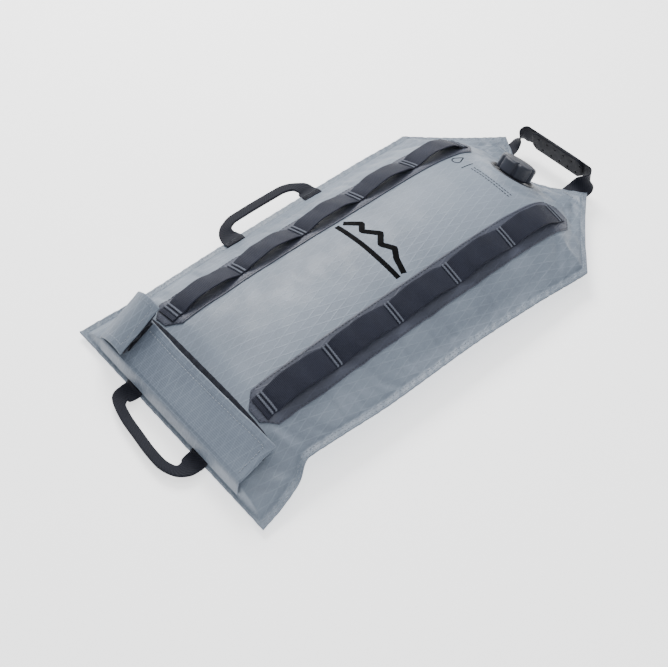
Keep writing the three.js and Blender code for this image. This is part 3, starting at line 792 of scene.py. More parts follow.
SAIL = sailcloth("shell sailcloth", rgb(99, 109, 122), rgb(142, 153, 167))
FLAP_CLOTH = sailcloth("flap sailcloth", rgb(86, 96, 110), rgb(130, 141, 155), ribbed=True)
LAMINATE = sailcloth("patch laminate", rgb(50, 54, 68), rgb(74, 79, 95))
WEB = woven("slate webbing", rgb(18, 21, 34), rgb(39, 44, 62))
HANDLE_WEB = woven("handle webbing", rgb(11, 13, 23), rgb(28, 32, 47), diagonal=True, rib=0.0024)
PALE_THREAD = thread("pale slate thread", rgb(74, 79, 92), rgb(106, 112, 126))
SEAM_THREAD = thread("seam thread", rgb(124, 132, 143), rgb(184, 191, 199))
DARK_THREAD = thread("dark thread", rgb(26, 28, 36), rgb(54, 58, 70))
LOOP = napped("loop pile", rgb(22, 24, 31), rgb(46, 49, 59))
HOOK = napped("hook pile", rgb(26, 28, 36), rgb(54, 58, 68))
GRIP = moulded("grip foam", rgb(12, 14, 23), rgb(24, 27, 39), 0.7, grain=500, specular=0.25)
CAP = moulded("cap plastic", rgb(36, 40, 51), rgb(50, 54, 67), 0.46)
SPOUT = moulded("spout plastic", rgb(30, 32, 40), rgb(48, 52, 62), 0.38)
RUBBER = moulded("seal rubber", rgb(24, 25, 27), rgb(44, 45, 48), 0.55, grain=700)
FILM = moulded("liner film", rgb(205, 211, 214), rgb(232, 236, 238), 0.3, grain=300)
INK = moulded("printed ink", rgb(3, 3, 5), rgb(7, 8, 11), 0.7, grain=1500, specular=0.06)


def finish_piece(obj, material, body="shell", nodes=()):
    """Gives a piece its material, the body that it rides on and the CAD nodes it stands for."""
    obj.data.materials.clear()
    obj.data.materials.append(material)
    if obj.parent is None and body:
        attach(obj, body)
    if nodes:
        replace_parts(obj, *nodes)
    return obj


# ---------------------------------------------------------------- shell panels
def mouth_ring(z):
    """Outline of the mouth slot at a height."""
    a = np.linspace(0, math.pi, 13)
    x = MOUTH_HALF - MOUTH_END + MOUTH_END * np.sin(a)
    y = MOUTH_Y + MOUTH_END * np.cos(a)
    return np.stack([np.append(x, -x[::-1]), np.append(y, y[::-1]), np.full(26, float(z))], 1)


def shell_front():
    """The front panel with its holes for the spout and the mouth."""
    top = np.stack([X, Y, skin(X, row_grid)], 2)
    mid = top - normals_of(top) * FABRIC / 2
    obj = sheet_piece("shell_front", mid, rounded(X.shape, FABRIC, rows=3, cols=3))
    drum = turned("hole", [(0.4, -14), (HOLE_R, -14), (HOLE_R, 16), (0.4, 16)], 96)
    cut_with(obj, [drum, prism("slot", mouth_ring(16), mouth_ring(60))])
    return obj


def shell_back():
    """The back panel, its columns running the other way so that it faces down."""
    lower = back_plain(X, row_grid)
    edge = allowance(X, row_grid)
    z = lower + BACK_PUFF * calm * smooth(2, 9, lower)
    z = np.maximum(z, 0.05) + edge * pucker(X, row_grid)
    top = np.where(edge > 0.5, z - 0.2, np.maximum(z - 0.2 + 1.3 * (1 - np.clip(lower / 6, 0, 1)), 1.1))
    top = top[:, ::-1]
    grid = np.stack([X[:, ::-1], Y[:, ::-1], top], 2)
    mid = grid + normals_of(grid) * FABRIC / 2
    return sheet_piece("shell_back", mid, rounded(X.shape, FABRIC, rows=3, cols=3))


front = finish_piece(shell_front(), SAIL, nodes=["front_panel"])
back = finish_piece(shell_back(), SAIL, nodes=["back_panel"])


# ---------------------------------------------------------------- stitches
SIX = np.linspace(0, 2 * math.pi, 6, endpoint=False)


PITCH, STITCH = 4.3, 3.2  # from one stitch to the next, and the thread of one that shows


def stitches(name, path, normals, width=0.6, body="shell", material=None):
    """Thread lying along a path of points: short raised capsules, one for each stitch."""
    path, normals = np.asarray(path, float), np.asarray(normals, float)
    run = run_of(path)
    count = int(run[-1] / PITCH)
    starts = (np.arange(count) + 0.5) * run[-1] / count
    stations = [(-0.5, 0.25, -0.3), (-0.36, 0.9, 0.0), (0.0, 1.0, 0.28), (0.36, 0.9, 0.0), (0.5, 0.25, -0.3)]
    verts, faces = [], []
    for k, s in enumerate(starts):
        n = read_along(run, normals, s)
        ahead = read_along(run, path, s + STITCH / 2) - read_along(run, path, s - STITCH / 2)
        side = np.cross(unit(ahead), n)
        for share, fat, lift in stations:
            c = read_along(run, path, s + share * STITCH) + n * width * (0.1 + lift)
            verts.append(c + width / 2 * fat * (np.outer(np.cos(SIX), side) + np.outer(np.sin(SIX), n)))
        faces += tube_faces(len(stations), len(stations) * 6 * k)
    obj = new_object(name, np.concatenate(verts), faces)
    return finish_piece(obj, material or SEAM_THREAD, body)


def thread_object(name, threads):
    """One mesh of short threads: each a centre, a way along, a way up, a length and a width."""
    verts, faces = [], []
    for k, (centre, along, up, length, width) in enumerate(threads):
        side = np.cross(along, up)
        for share, fat in ((-0.5, 0.4), (-0.3, 1.0), (0.3, 1.0), (0.5, 0.4)):
            ring = np.outer(np.cos(SIX), side) + np.outer(np.sin(SIX), up)
            verts.append(centre + along * share * length + width / 2 * fat * ring)
        faces += tube_faces(4, 24 * k)
    return new_object(name, np.concatenate(verts), faces)


def surface_path(xs, ys, lift=0.0):
    """Points and normals along a line drawn on the shell's outer face."""
    xs, ys = np.asarray(xs, float), np.asarray(ys, float)
    z = on_bag(xs, ys)
    dx = (on_bag(xs + 0.6, ys) - on_bag(xs - 0.6, ys)) / 1.2
    dy = (on_bag(xs, ys + 0.6) - on_bag(xs, ys - 0.6)) / 1.2
    n = unit(np.stack([-dx, -dy, np.ones(len(xs))], 1))
    return np.stack([xs, ys, z], 1) + n * lift, n


def seam_line(inset):
    """The bag's outline moved inwards, from the left bottom corner over the top to the right."""
    rows = np.concatenate([np.linspace(-274, SHOULDER, 230), np.linspace(SHOULDER + 1.5, TOP - inset, 60)])
    x = half_width(rows) - inset
    top = np.linspace(1, -1, 80)[1:-1] * x[-1]
    xs = np.concatenate([-x, -top, x[::-1]])
    rs = np.concatenate([rows, np.full(len(top), TOP - inset), rows[::-1]])
    return xs, row_y(xs, rs)


for label, inset in (("outer", 2.3), ("inner", 6.0)):
    stitches(f"seam_stitches_{label}", *surface_path(*seam_line(inset)))
line = np.linspace(-148, 148, 120)
stitches("seam_stitches_bottom", *surface_path(line, np.full(120, -276.7)), width=0.5)


# ---------------------------------------------------------------- patches, daisy chains and bar tacks
PATCH_TOP = 1.55
tack_at = [TACK_FIRST + n * TACK_STEP for n in range(TACKS)]


def patch_half(y):
    near_end = np.maximum(y - (PATCH_HIGH - PATCH_CHAMFER), (PATCH_LOW + PATCH_CHAMFER) - y)
    return PATCH_HALF - np.clip(near_end, 0, PATCH_CHAMFER)


def loop_rise(side, y):
    n = np.clip(np.floor((y - TACK_FIRST) / TACK_STEP), 0, TACKS - 2)
    t = np.clip((y - TACK_FIRST - n * TACK_STEP - TACK_HALF) / (TACK_STEP - 2 * TACK_HALF), 0, 1)
    return LOOP_RISE[side] * np.sin(math.pi * t) ** 0.75


def near_tack(y):
    gap = np.min([np.abs(y - at) for at in tack_at], axis=0)
    return np.exp(-((gap / 4.5) ** 2))


def web_under(side, x, y):
    """Height of the webbing's underside."""
    lean = 0.5 * np.sin(y * 0.19 + side) * (1 - near_tack(y)) * (x - side * STRIP_X) / 12
    return on_bag(x, y) + PATCH_TOP + 0.2 + loop_rise(side, y) + lean


def bar_tack(name, side, y):
    """Two dense zigzag ridges across the webbing."""
    threads = []
    for offset in (-2.3, 2.3):
        xs = side * STRIP_X + np.arange(-12.2, 12.21, 0.72)
        ys = y + offset + 0.25 * np.sin(xs * 2.6)
        top = web_under(side, xs, ys) + WEB_T + 0.5
        slope = (on_bag(xs, ys + 2) - on_bag(xs, ys - 2)) / 4
        for k, centre in enumerate(np.stack([xs, ys, top], 1)):
            lie = unit([0.09 * (-1) ** k, 1, slope[k]])
            threads.append((centre, lie, np.cross([1.0, 0, 0], lie), 2.2, 1.17))
    return thread_object(name, threads)


for label, side in (("left", -1), ("right", 1)):
    ys = edged(PATCH_LOW, PATCH_HIGH, 230)
    share = edged(-1, 1, 22, 0.02)
    xs = side * STRIP_X + share[None, :] * patch_half(ys)[:, None]
    grid = laid(xs, ys[:, None], 0.1 + (PATCH_TOP - 0.1) / 2)
    patch = sheet_piece(f"{label}_patch_cloth", grid, rounded(grid.shape[:2], PATCH_TOP - 0.3))
    finish_piece(patch, LAMINATE, nodes=[f"{label}_patch"])
    rim = np.linspace(PATCH_LOW + 2.5, PATCH_HIGH - 2.5, 200)
    edge = patch_half(rim) - 1.8
    loop_x = side * STRIP_X + np.concatenate([edge, -edge[::-1], edge[:1]])
    loop_y = np.concatenate([rim, rim[::-1], rim[:1]])
    line, up = surface_path(loop_x, loop_y, PATCH_TOP - 0.1)
    stitches(f"{label}_patch_stitches", line, up, width=0.5, material=DARK_THREAD)

    ys = edged(TACK_FIRST - TACK_HALF - 4, TACK_FIRST + (TACKS - 1) * TACK_STEP + TACK_HALF, 330)
    half = WEBBING / 2 - 0.6 * near_tack(ys)
    xs = side * STRIP_X + edged(-1, 1, 14, 0.03)[None, :] * half[:, None]
    y_grid = np.broadcast_to(ys[:, None], xs.shape)
    pinch = near_tack(y_grid) * 0.35
    grid = np.stack([xs, y_grid, web_under(side, xs, y_grid) + WEB_T / 2 - pinch], 2)
    thick = rounded(grid.shape[:2], WEB_T) * (1 - 0.25 * near_tack(y_grid))
    strap = sheet_piece(f"{label}_daisy_chain", grid, thick)
    finish_piece(strap, WEB, nodes=[f"{label}_webbing"])
    for n, at in enumerate(tack_at):
        tack = bar_tack(f"{label}_tack_{n + 1}", side, at)
        finish_piece(tack, PALE_THREAD, nodes=[f"{label}_bartack_{n + 1}"])


# ---------------------------------------------------------------- mouth flap and its tapes
def flap_edge(x):
    return EDGE_Y - 4 * np.cos(math.pi * x / 232)


def flap_plane(y):
    return FOLD_Z + FLAP_SLOPE * (y - FOLD_Y)


def flap_under(x, y):
    """Height of the flap's underside."""
    reach = np.clip((y - FOLD_Y) / (EDGE_Y - FOLD_Y), 0, 1)
    wave = 0.45 * np.sin(x * 0.07 + 0.8) * reach + 0.3 * np.sin(x * 0.19 + y * 0.06) * reach
    return flap_plane(y) - 9 * reach * np.abs(x / FLAP_RIGHT) ** 3.2 + wave


def flap_cloth():
    """From the band above the bottom seam, up over the fold and out to the free edge."""
    xs = edged(FLAP_LEFT, FLAP_RIGHT, 120)
    wall = [(-275.6, 13.5), (-275.2, 18), (-274.7, 23), (-274.2, 27), (-273.6, 30), (-272.3, 32.6)]
    shares = edged(0.035, 1, 40, 0.008)
    fine = through(wall, len(wall) * 4)
    rows = [np.stack([xs, np.full(len(xs), y), np.full(len(xs), z)], 1) for y, z in fine]
    for share in shares:
        y = FOLD_Y + (flap_edge(xs) - FOLD_Y) * share
        rows.append(np.stack([xs, y, flap_under(xs, y) + 0.7], 1))
    grid = np.stack(rows)
    thick = rounded(grid.shape[:2], 1.3)
    hem = np.zeros(grid.shape[:2])
    hem[-9:-2] = 1
    hem[len(fine) :, 2:5] = 1
    hem[len(fine) :, -5:-2] = 1
    grid[:, :, 2] += 0.25 * hem
    return sheet_piece("mouth_flap", grid, thick + 0.5 * hem)


flap = finish_piece(flap_cloth(), FLAP_CLOTH, body=None, nodes=["flap_panel"])
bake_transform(flap)

line = np.linspace(FLAP_LEFT + 5, FLAP_RIGHT - 8, 90)
end_line = (np.full(30, FLAP_RIGHT - 8.0), np.linspace(-268, -236.5, 30))
for k, (xs, ys) in enumerate([(line, flap_edge(line) - 8.0), end_line]):
    z = flap_under(xs, ys) + 1.42
    n = np.tile([0, -FLAP_SLOPE, 1], (len(xs), 1)) / math.hypot(1, FLAP_SLOPE)
    stitches(f"flap_stitches_{k + 1}", np.stack([xs, ys, z], 1), n, body="flap")

xs, shares = edged(-100, 100, 90), edged(0, 1, 12, 0.02)
ys = -247 + (flap_edge(xs)[None, :] - 2 + 247) * shares[:, None]
x_grid = np.broadcast_to(xs[None, :], ys.shape)
grid = np.stack([x_grid, ys, flap_under(x_grid, ys) - 1.15], 2)
hook = sheet_piece("flap_hook_tape", grid, rounded(ys.shape, 1.2))
finish_piece(hook, HOOK, "flap", ["flap_hook_strip"])

xs, ys = edged(-104, 108, 100), edged(-246, -226, 14)
inset = 5 * np.clip(1 - np.minimum(xs + 104, 108 - xs) / 5, 0, 1) ** 2
ys = -236 + (ys[:, None] + 236) * (10 - inset[None, :]) / 10
grid = laid(np.broadcast_to(xs[None, :], ys.shape), ys, 0.85 + 0.25 * np.sin(xs * 0.5)[None, :])
pile = sheet_piece("mouth_loop_tape", grid, rounded(ys.shape, 1.4))
finish_piece(pile, LOOP, nodes=["mouth_loop_strip"])

xs, ys = edged(-104, -76, 20), edged(-264, -232, 20)
x_grid, y_grid = np.meshgrid(xs, ys)
grid = np.stack([x_grid, y_grid, flap_under(x_grid, y_grid) + 1.4 + 0.55], 2)
pad = sheet_piece("flap_loop_tape", grid, rounded(x_grid.shape, 0.9))
finish_piece(pad, LOOP, "flap", ["flap_loop_pad"])


# ---------------------------------------------------------------- end tab folded over the flap
def tab_arch(x, y):
    """How far the end tab arches above the flap."""
    t = (x - TAB_LEFT) / (TAB_RIGHT - TAB_LEFT)
    wave = 0.5 * np.sin(y * 0.16 + 0.5) * np.clip(t, 0, 1)
    return 1.2 + TAB_RISE * np.sin(math.pi * np.clip(t * 0.72 + 0.04, 0, 1)) + wave


def tab_at(x, y):
    """Height of the end tab's underside."""
    return flap_plane(y) + 1.4 + tab_arch(x, y)


ys = edged(TAB_LOW, TAB_HIGH, 40)
across = edged(TAB_LEFT, TAB_RIGHT, 34)
x_grid, y_grid = np.meshgrid(across, ys)
flat = np.stack([x_grid, y_grid, tab_at(x_grid, y_grid) + 0.7], 2)
# three columns of cloth turned in under the tab's left side: shift and height above the flap
turn = [(0.6, 0.5), (-0.7, 1.2), (-1.1, 2.5)]
turned_in = [np.stack([np.full(len(ys), TAB_LEFT + dx), ys, flap_plane(ys) + dz], 1) for dx, dz in turn]
grid = np.concatenate([np.stack(turned_in, 1), flat], 1)
thick = rounded(grid.shape[:2], 1.3)
hem = np.zeros(thick.shape)
hem[2:7, 4:] = hem[-7:-2, 4:] = 1
hem[2:-2, -7:-2] = 1
grid[:, :, 2] += 0.2 * hem
tab = sheet_piece("end_tab_cloth", grid, thick + 0.4 * hem)
finish_piece(tab, SAIL, body=None, nodes=["end_tab_panel"])
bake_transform(tab)

inner = np.linspace(TAB_LOW + 5.5, TAB_HIGH - 5.5, 20)
corner_x = np.concatenate([np.linspace(-106, -80.5, 12), np.full(20, -80.5), np.linspace(-80.5, -106, 12)])
corner_y = np.concatenate([np.full(12, inner[0]), inner, np.full(12, inner[-1])])
slope_x = tab_arch(corner_x + 0.5, corner_y) - tab_arch(corner_x - 0.5, corner_y)
n = unit(np.stack([-slope_x, np.full(len(slope_x), -FLAP_SLOPE), np.ones(len(slope_x))], 1))
points = np.stack([corner_x, corner_y, tab_at(corner_x, corner_y) + 1.55], 1)
stitches("end_tab_stitches", points, n, body="end_tab")

# the hook tape under the tab, with its free side curling down to the flap in waves
ys = edged(-270, -226, 60)
profile = [(x, 0) for x in (-104, -98, -92, -86, -81)]
profile += [(-77.6, -0.4), (-76.4, -2.4), (-77.4, -5.2), (-78.6, -7.6)]
x, drop = through(profile, 40).T
loose = np.clip(-drop / 5, 0, 1)
rows = []
for y in ys:
    wave = (1.3 * math.sin(y * 0.42) + 0.5 * math.sin(y * 0.93 + 1)) * loose
    rows.append(np.stack([x + wave, np.full(40, y), tab_at(x, y) - 1.2 + drop], 1))
grid = np.stack(rows)
grid[:, :, 2] = np.maximum(grid[:, :, 2], flap_under(grid[:, :, 0], grid[:, :, 1]) + 2.7)
tape = sheet_piece("end_tab_hook_tape", grid, rounded(grid.shape[:2], 1.0))
finish_piece(tape, HOOK, "end_tab", ["end_tab_hook"])


# ---------------------------------------------------------------- straps
def strap_grid(centres, wides, widths, columns=14):
    """Mid-surface of a strap along centres, lying across the given directions."""
    forward = unit(np.gradient(centres, axis=0))
    wides = unit(wides - (wides * forward).sum(1, keepdims=True) * forward)
    shares = edged(-0.5, 0.5, columns, 0.015)
    return centres[:, None, :] + wides[:, None, :] * (widths[:, None] * shares[None, :])[..., None]


def keyed_strap(keys, count, widths, columns=14):
    """A strap through keys of (centre, way across); widths is a rule of the share along it."""
    centres = np.array([k[0] for k in keys], float)
    ways = unit([k[1] for k in keys])
    knots = run_of(centres, 0.6)
    fine = np.linspace(0, knots[-1], count)
    line = hermite(knots, centres, fine, np.gradient(centres, knots, axis=0))
    across = hermite(knots, ways, fine, np.gradient(ways, knots, axis=0))
    share = run_of(line)
    return strap_grid(line, across, widths(share / share[-1]), columns)


GRIP_WIDE = (0, -0.25, 1)  # the way across the grip
seam_z = float(seam_height(47, 268))
top_keys = [
    ((-46.5, 261, seam_z - 1.4), (1, 0, 0)),
    ((-46.6, 266, seam_z + 0.1), (1, 0, 0)),
    ((-47, 270.5, 18.4), (1, 0, 0.1)),
    ((-47.5, 275.5, 21.6), (0.8, 0, 0.5)),
    ((-47.6, 280.5, 26), (0.4, 0, 0.85)),
    ((-46.6, 285, 29.6), (0.12, -0.05, 1)),
    ((-43, 288.6, 31.6), (0, -0.15, 1)),
    ((-36, 289.7, 32.3), GRIP_WIDE),
    ((-18, 290, 32.5), GRIP_WIDE),
    ((6, 290.4, 32.5), GRIP_WIDE),
    ((30, 290.8, 32.5), GRIP_WIDE),
    ((46, 290.7, 32.3), GRIP_WIDE),
    ((53, 289.4, 31.6), (0, -0.15, 1)),
    ((56.4, 285.5, 29.8), (-0.12, -0.05, 1)),
    ((56.4, 280.8, 26.4), (-0.42, 0, 0.85)),
    ((54.4, 275.8, 22), (-0.8, 0, 0.5)),
    ((52.2, 270.8, 18.6), (-1, 0, 0.1)),
    ((51, 266, seam_z + 0.1), (-1, 0, 0)),
    ((50.6, 261, seam_z - 1.4), (-1, 0, 0)),
]
grid = keyed_strap(top_keys, 220, lambda t: WEBBING - 10 * (1 - smooth(0.06, 0.2, t)))
handle = sheet_piece("top_handle_strap", grid, rounded(grid.shape[:2], WEB_T))
finish_piece(handle, HANDLE_WEB, body=None, nodes=["top_handle_webbing"])
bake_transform(handle)

# the grip, thinned at both ends and punched with two rows of round holes
pad_mid = through([(-33, 286.4, 32.5), (6, 287.2, 32.5), (43, 287.7, 32.5)], 90)
pad_wide = np.tile(np.array(GRIP_WIDE, float), (90, 1))
t = np.linspace(0, 1, 90)
grid = strap_grid(pad_mid, pad_wide, 30 - 13 * np.clip(np.abs(t - 0.5) * 2 - 0.83, 0, 1) / 0.17, 26)
grip = sheet_piece("top_handle_grip", grid, rounded(grid.shape[:2], 3.2, rows=3, cols=3))
outward(grip)
punches = []
circle = np.linspace(0, 2 * math.pi, 20, endpoint=False)
lean = math.atan2(-GRIP_WIDE[1], GRIP_WIDE[2])
c, s = math.cos(lean), math.sin(lean)
tip = np.array([[1, 0, 0], [0, c, s], [0, -s, c]])
for row, start in ((7, -22), (-7, -28)):
    for x in start + 12.5 * np.arange(6):
        middle = (x, 287.1 + x * 0.017 - row * 0.25, 32.5 + row)
        rings = [np.stack([1.3 * np.cos(circle), np.full(20, d), 1.3 * np.sin(circle)], 1) for d in (-7, 7)]
        punches.append(prism("punch", *(ring @ tip + middle for ring in rings)))
cut_with(grip, punches)
finish_piece(grip, GRIP, "top_handle", ["top_handle_pad"])


def folded_width(t):
    """Width of a strap whose middle is folded lengthwise, at a share of its length."""
    return 11 + 13 * (1 - smooth(0.05, 0.21, np.minimum(t, 1 - t)))


def folded_strap(name, keys):
    """A strap whose middle is folded lengthwise, so that it is narrow and thick there."""
    grid = keyed_strap(keys, 200, folded_width, 12)
    t = np.linspace(0, 1, 200)[:, None]
    belly = np.clip(1 - (np.linspace(-1, 1, grid.shape[1])[None, :]) ** 6, 0.4, 1)
    thick = (1.8 + 1.7 * smooth(0.1, 0.26, np.minimum(t, 1 - t))) * belly
    return sheet_piece(name, grid, np.minimum(thick, rounded(grid.shape[:2], 3.5)))


def on_side(x, y, lift):
    """A height over the bag's left side."""
    return float(on_bag(x, y)) + lift


side_keys = [
    ((-129, -87, on_side(-131, -87, 1.3)), (0, 1, 0)),
    ((-134, -87, on_side(-134, -87, 1.1)), (0, 1, 0)),
    ((-141.5, -87, 28.6), (0, 1, 0)),
    ((-147, -86.5, 29.4), (0.15, 1, 0)),
    ((-153, -83, 31), (0.5, 0.8, 0)),
    ((-158, -73, 32), (0.9, 0.3, 0)),
    ((-159.5, -55, 32), (1, 0.1, 0)),
    ((-160, -31, 32), (1, 0, 0)),
    ((-160, -10, 32), (1, 0, 0)),
    ((-159.5, 3, 32), (1, -0.1, 0)),
    ((-156, 14, 31.5), (0.8, -0.5, 0)),
    ((-151, 20, 30.6), (0.5, -0.8, 0)),
    ((-146, 23.6, 29.4), (0.15, -1, 0)),
    ((-141.5, 24, 28.6), (0, -1, 0)),
    ((-134, 24, on_side(-134, 24, 1.1)), (0, -1, 0)),
    ((-129, 24, on_side(-131, 24, 1.3)), (0, -1, 0)),
]
side_strap = folded_strap("side_handle_webbing", side_keys)
finish_piece(side_strap, HANDLE_WEB, body=None, nodes=["side_handle_strap"])
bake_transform(side_strap)

bottom_keys = [
    ((-53.6, -275.4, 11.4), (1, 0, 0)),
    ((-53.8, -278.5, 8.6), (1, 0, 0)),
    ((-54.5, -285, 7.7), (1, 0, 0)),
    ((-54.6, -292, 8), (0.95, 0.3, 0)),
    ((-48, -298.5, 8.5), (0.6, 0.8, 0)),
    ((-32, -303, 8.5), (0.2, 1, 0)),
    ((-5, -306, 8.5), (0.1, 1, -0.1)),
    ((20, -308, 8.5), (0, 1, -0.1)),
    ((40, -307, 8.5), (-0.3, 1, 0)),
    ((52, -301, 8), (-0.8, 0.6, 0)),
    ((55.5, -292, 8), (-1, 0.1, 0)),
    ((54.5, -285, 7.7), (-1, 0, 0)),
    ((54.1, -278.5, 8.6), (-1, 0, 0)),
    ((54, -275.4, 11.4), (-1, 0, 0)),
]
bottom_strap = folded_strap("bottom_handle_webbing", bottom_keys)
finish_piece(bottom_strap, HANDLE_WEB, body=None, nodes=["bottom_handle_strap"])
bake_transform(bottom_strap)


# ---------------------------------------------------------------- sewn ends of the handles
def sewn_end(name, x0, x1, y0, y1, lift, along):
    """Dense threads in one or two ridges over a strap's end."""
    rows = 2 if min(x1 - x0, y1 - y0) > 3.5 else 1
    threads = []
    for r in range(rows):
        share = (r + 0.5) / rows
        if along == "x":
            length = (y1 - y0) / rows * 0.85
            spots = [(x, y0 + (y1 - y0) * share) for x in np.arange(x0, x1 + 0.01, 0.75)]
            way = np.array([0.0, 1, 0])
        else:
            length = (x1 - x0) / rows * 0.85
            spots = [(x0 + (x1 - x0) * share, y) for y in np.arange(y0, y1 + 0.01, 0.75)]
            way = np.array([1.0, 0, 0])
        for x, y in spots:
            rise = float(on_bag(x + way[0], y + way[1]) - on_bag(x - way[0], y - way[1])) / 2
            lie = unit(way + np.array([0, 0, rise]))
            up = unit(np.array([0, 0, 1.0]) - lie * lie[2])
            threads.append((np.array([x, y, float(on_bag(x, y)) + lift]), lie, up, length, 1.05))
    material = SEAM_THREAD if name.startswith("top") else DARK_THREAD
    return finish_piece(thread_object(name, threads), material)


ANCHORS = [
    ("bottom_anchor_left", -65, -43, -277.4, -275.2, 2.0, "x"),
    ("bottom_anchor_right", 43, 65, -277.4, -275.2, 2.0, "x"),
    ("side_anchor_front", -135.8, -131.6, 14, 35, 2.1, "y"),
    ("side_anchor_rear", -134.8, -130.6, -98, -77, 2.1, "y"),
    ("top_anchor_left", -57, -45, 257.4, 258.8, 0.15, "x"),
    ("top_anchor_right", 45, 57, 257.4, 258.8, 0.15, "x"),
]
for node, x0, x1, y0, y1, lift, along in ANCHORS:
    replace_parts(sewn_end(node + "_thread", x0, x1, y0, y1, lift, along), node)


# ---------------------------------------------------------------- spout and cap
NECK_R, NECK_BORE, NECK_TOP, FLANGE_TOP, FLANGE_UNDER = 15, 12.6, 14.5, -0.5, -2.5
THREAD_LOW, THREAD_HIGH, THREAD_PITCH, CREST = 3.2, 13.0, 4.0, 1.2


def threaded(r, h, angles):
    """The neck's outside radius with its right-handed thread."""
    if abs(r - NECK_R) > 0.1 or not 1 < h < 14.4:
        return np.full(len(angles), float(r))
    phase = ((h - angles / (2 * math.pi) * THREAD_PITCH) / THREAD_PITCH) % 1.0
    crest = CREST * smooth(0.2, 0.42, phase) * (1 - smooth(0.58, 0.8, phase))
    low_fade = smooth(THREAD_LOW - 1.5, THREAD_LOW + 0.5, h)
    high_fade = 1 - smooth(THREAD_HIGH - 0.8, THREAD_HIGH + 0.8, h)
    return r + crest * low_fade * high_fade


neck = [(NECK_BORE, 14.2), (12.9, NECK_TOP), (14.6, NECK_TOP), (NECK_R, 14.1)]
neck += [(NECK_R, h) for h in np.linspace(13.9, 1.2, 50)]
neck += [(15.2, 0.4), (15.8, -0.2), (16.5, -0.45), (20, FLANGE_TOP), (24.6, FLANGE_TOP)]
# a round bead on the flange, inside the panel's hole
neck += [(25.2, -0.2), (25.5, 0.6), (25.8, 1.6), (26.4, 2.2), (27.1, 2.35), (27.8, 2.1), (28.1, 1.4)]
neck += [(28.15, 0.2), (28.3, -0.4), (32.1, FLANGE_TOP), (FLANGE_R, -0.8), (FLANGE_R, -2.2)]
neck += [(32.2, FLANGE_UNDER), (12.9, FLANGE_UNDER), (NECK_BORE, -2.2)]
spout = turned("spout_with_thread", neck[::-1], 160, threaded)
finish_piece(spout, SPOUT, nodes=["spout_neck", "spout_flange"])


def lobed(r, h, angles):
    """The cap's outside radius: six wide lobes between deep rounded grooves."""
    if r < 18.8 or h > 20.1:
        return np.full(len(angles), float(r))
    groove = np.maximum(0, np.cos(6 * angles + 0.4)) ** 5
    return r * (1 - 0.125 * groove * smooth(18.4, 20.5, r))


CAP_R, CAP_LOW, CAP_HIGH, CAP_BORE, CAP_ROOF = 22, 2.2, 20.2, 18.7, 16.2
outer = [(20.9, CAP_LOW), (21.6, 2.5), (21.95, 3.2), (CAP_R, 4.5), (CAP_R, 10), (21.95, 15.4)]
outer += [(CAP_R - 2.9 * (1 - math.cos(a)), 16.0 + 3.1 * math.sin(a)) for a in np.linspace(0.15, 1.35, 9)]
outer += [(18.4, 19.3), (17.2, 19.5), (15.6, 19.62), (15.2, 19.5), (14.8, 19.62), (11, 19.95), (6, 20.15)]
outer.append((0.0, CAP_HIGH))
hollow = [(0.0, CAP_ROOF), (17.6, CAP_ROOF), (18.4, 15.8), (CAP_BORE, 15.0), (CAP_BORE, 3.0), (19.0, CAP_LOW)]
cap = turned("cap_with_lobes", outer + hollow, 192, lobed)
finish_piece(cap, CAP, "cap", ["screw_cap"])

seal = frame["nodes"]["cap_seal"]
seal.data.materials.clear()
seal.data.materials.append(RUBBER)


def liner():
    """The welded film bag inside the shell, open round the neck."""
    rows = np.linspace(LINER_LOW, LINER_HIGH, 130)
    corner = LINER_CORNER * (1 - smooth(-256, -205, rows))
    half = np.minimum(half_width(rows) - LINER_INSET - corner, 40 + (LINER_HIGH - rows) * 1.6)
    x = half[:, None] * crowd(np.linspace(-1, 1, 50))[None, :]
    row = np.broadcast_to(rows[:, None], x.shape)
    y = row_y(x, row)
    top = np.stack([x, y, film_level(x, row, 1)], 2)
    bottom = np.stack([x, y, film_level(x, row, -1)], 2)
    obj = two_sided("liner_film", top, bottom)
    hole = turned("liner_hole", [(0.4, -8), (FLANGE_R + 1, -8), (FLANGE_R + 1, 8), (0.4, 8)], 64)
    cut_with(obj, [hole])
    return obj


finish_piece(liner(), FILM, nodes=["inner_liner"])


# ---------------------------------------------------------------- printed marks
def print_stroke(points, width, closed=False):
    """Quads of ink, a thin ribbon over the cloth along a line of points."""
    pts = np.asarray(points, float)
    if closed:
        pts = np.concatenate([pts, pts[:1]])
    run = run_of(pts)
    steps = max(2, int(run[-1] / 1.2))
    line = read_along(run, pts, np.linspace(0, run[-1], steps + 1))
    if closed:
        line[-1] = line[0]
    d = np.gradient(line, axis=0)
    if closed:
        d[0] = d[-1] = line[1] - line[-2]
    d = unit(d)
    side = np.stack([d[:, 1], -d[:, 0]], 1)
    shares = np.linspace(0.5, -0.5, 4 if width < 2.5 else 8)
    x = line[:, None, 0] + side[:, None, 0] * shares[None, :] * width
    y = line[:, None, 1] + side[:, None, 1] * shares[None, :] * width
    return np.stack([x, y, on_bag(x, y) + 0.22], 2)


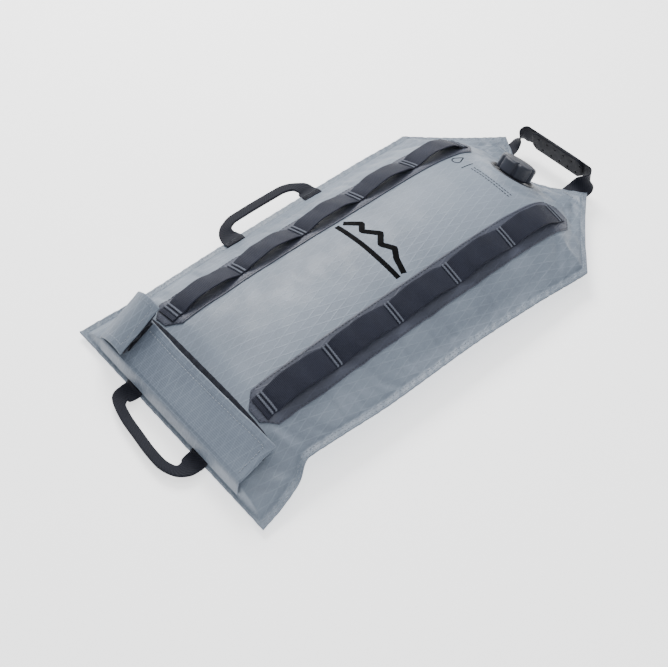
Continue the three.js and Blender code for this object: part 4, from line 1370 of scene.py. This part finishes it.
def printed(name, strokes):
    """Ink marks laid on the cloth, one thin closed ribbon for each stroke."""
    verts, faces, count = [], [], 0
    for grid in strokes:
        rows, cols = grid.shape[:2]
        under = grid.copy()
        under[..., 2] -= 0.2
        idx = count + np.arange(rows * cols).reshape(rows, cols)
        low = idx + rows * cols
        for g, flip in ((idx, True), (low, False)):
            quad = np.stack([g[:-1, :-1], g[:-1, 1:], g[1:, 1:], g[1:, :-1]], 2).reshape(-1, 4)
            faces.append(quad[:, ::-1] if flip else quad)
        for side in (np.s_[0, :], np.s_[-1, ::-1], np.s_[::-1, 0], np.s_[:, -1]):
            up, down = idx[side], low[side]
            faces.append(np.stack([up[:-1], up[1:], down[1:], down[:-1]], 1))
        verts += [grid.reshape(-1, 3), under.reshape(-1, 3)]
        count += 2 * rows * cols
    obj = new_object(name, np.concatenate(verts), np.concatenate(faces))
    outward(obj)
    return finish_piece(obj, INK)


ridge = [(-48, -4), (-33, 9), (-24, 1), (-8, 13), (4, 2), (17, 10), (28, 2), (46, -4)]
printed("emblem_print", [print_stroke(ridge, 6.6), print_stroke([(-49, -12.5), (47, -12.5)], 5.8)])
drop = [(-45 + 5.2 * math.sin(a), 165 - 5.2 * math.cos(a)) for a in np.linspace(-2.25, 2.25, 22)]
drop.append((-45, 177))
printed("drop_print", [print_stroke(drop, 1.2, closed=True)])
dashes = [print_stroke([(-30, 157), (-30, 176)], 1.0)]
for y in (166, 170.5):
    for x in np.arange(-23, 34, 4.2):
        dashes.append(print_stroke([(x, y), (x + 2.9, y)], 0.9))
printed("guide_print", dashes)


# ---------------------------------------------------------------- floor and light
def plain_stage():
    """A pale floor, lit from within a little so that it stays lighter than the bag."""
    bpy.ops.mesh.primitive_plane_add(size=9, location=(0, 0, -0.0004))
    floor = bpy.context.object
    floor.name = "floor"
    p = Paint("pale floor", 0.75, specular=0.15)
    p.bump(p.noise(60, 2), 0.0001, 0.1)
    p.shader.inputs["Emission Color"].default_value = (1, 1, 1, 1)
    p.shader.inputs["Emission Strength"].default_value = 1.3
    cloudy = p.noise(3, 2)
    floor.data.materials.append(p.done(p.mix(cloudy, (0.9, 0.903, 0.906, 1), (0.93, 0.932, 0.935, 1))))


def area_light(name, place, size, energy, color=(1, 1, 1)):
    """A soft square light aimed at the middle of the bag."""
    data = bpy.data.lights.new(name, "AREA")
    data.shape = "RECTANGLE"
    data.size, data.size_y = size
    data.energy = energy
    data.color = color
    lamp = bpy.data.objects.new(name, data)
    scene.collection.objects.link(lamp)
    lamp.location = place
    lamp.rotation_euler = (Vector((0, -0.03, 0.02)) - Vector(place)).to_track_quat("-Z", "Y").to_euler()


plain_stage()
area_light("key", (-1.05, 0.5, 1.2), (0.8, 0.8), 44, color=(1.0, 0.99, 0.975))
area_light("fill", (1.3, -0.7, 1.0), (1.4, 1.0), 4, color=(0.96, 0.98, 1.0))
area_light("over", (0.0, 0.1, 1.9), (1.6, 1.6), 15)
world = bpy.data.worlds.new("pale surround")
world.use_nodes = True
backdrop = world.node_tree.nodes["Background"]
backdrop.inputs["Color"].default_value = (0.95, 0.97, 1.0, 1)
backdrop.inputs["Strength"].default_value = 0.5
scene.world = world
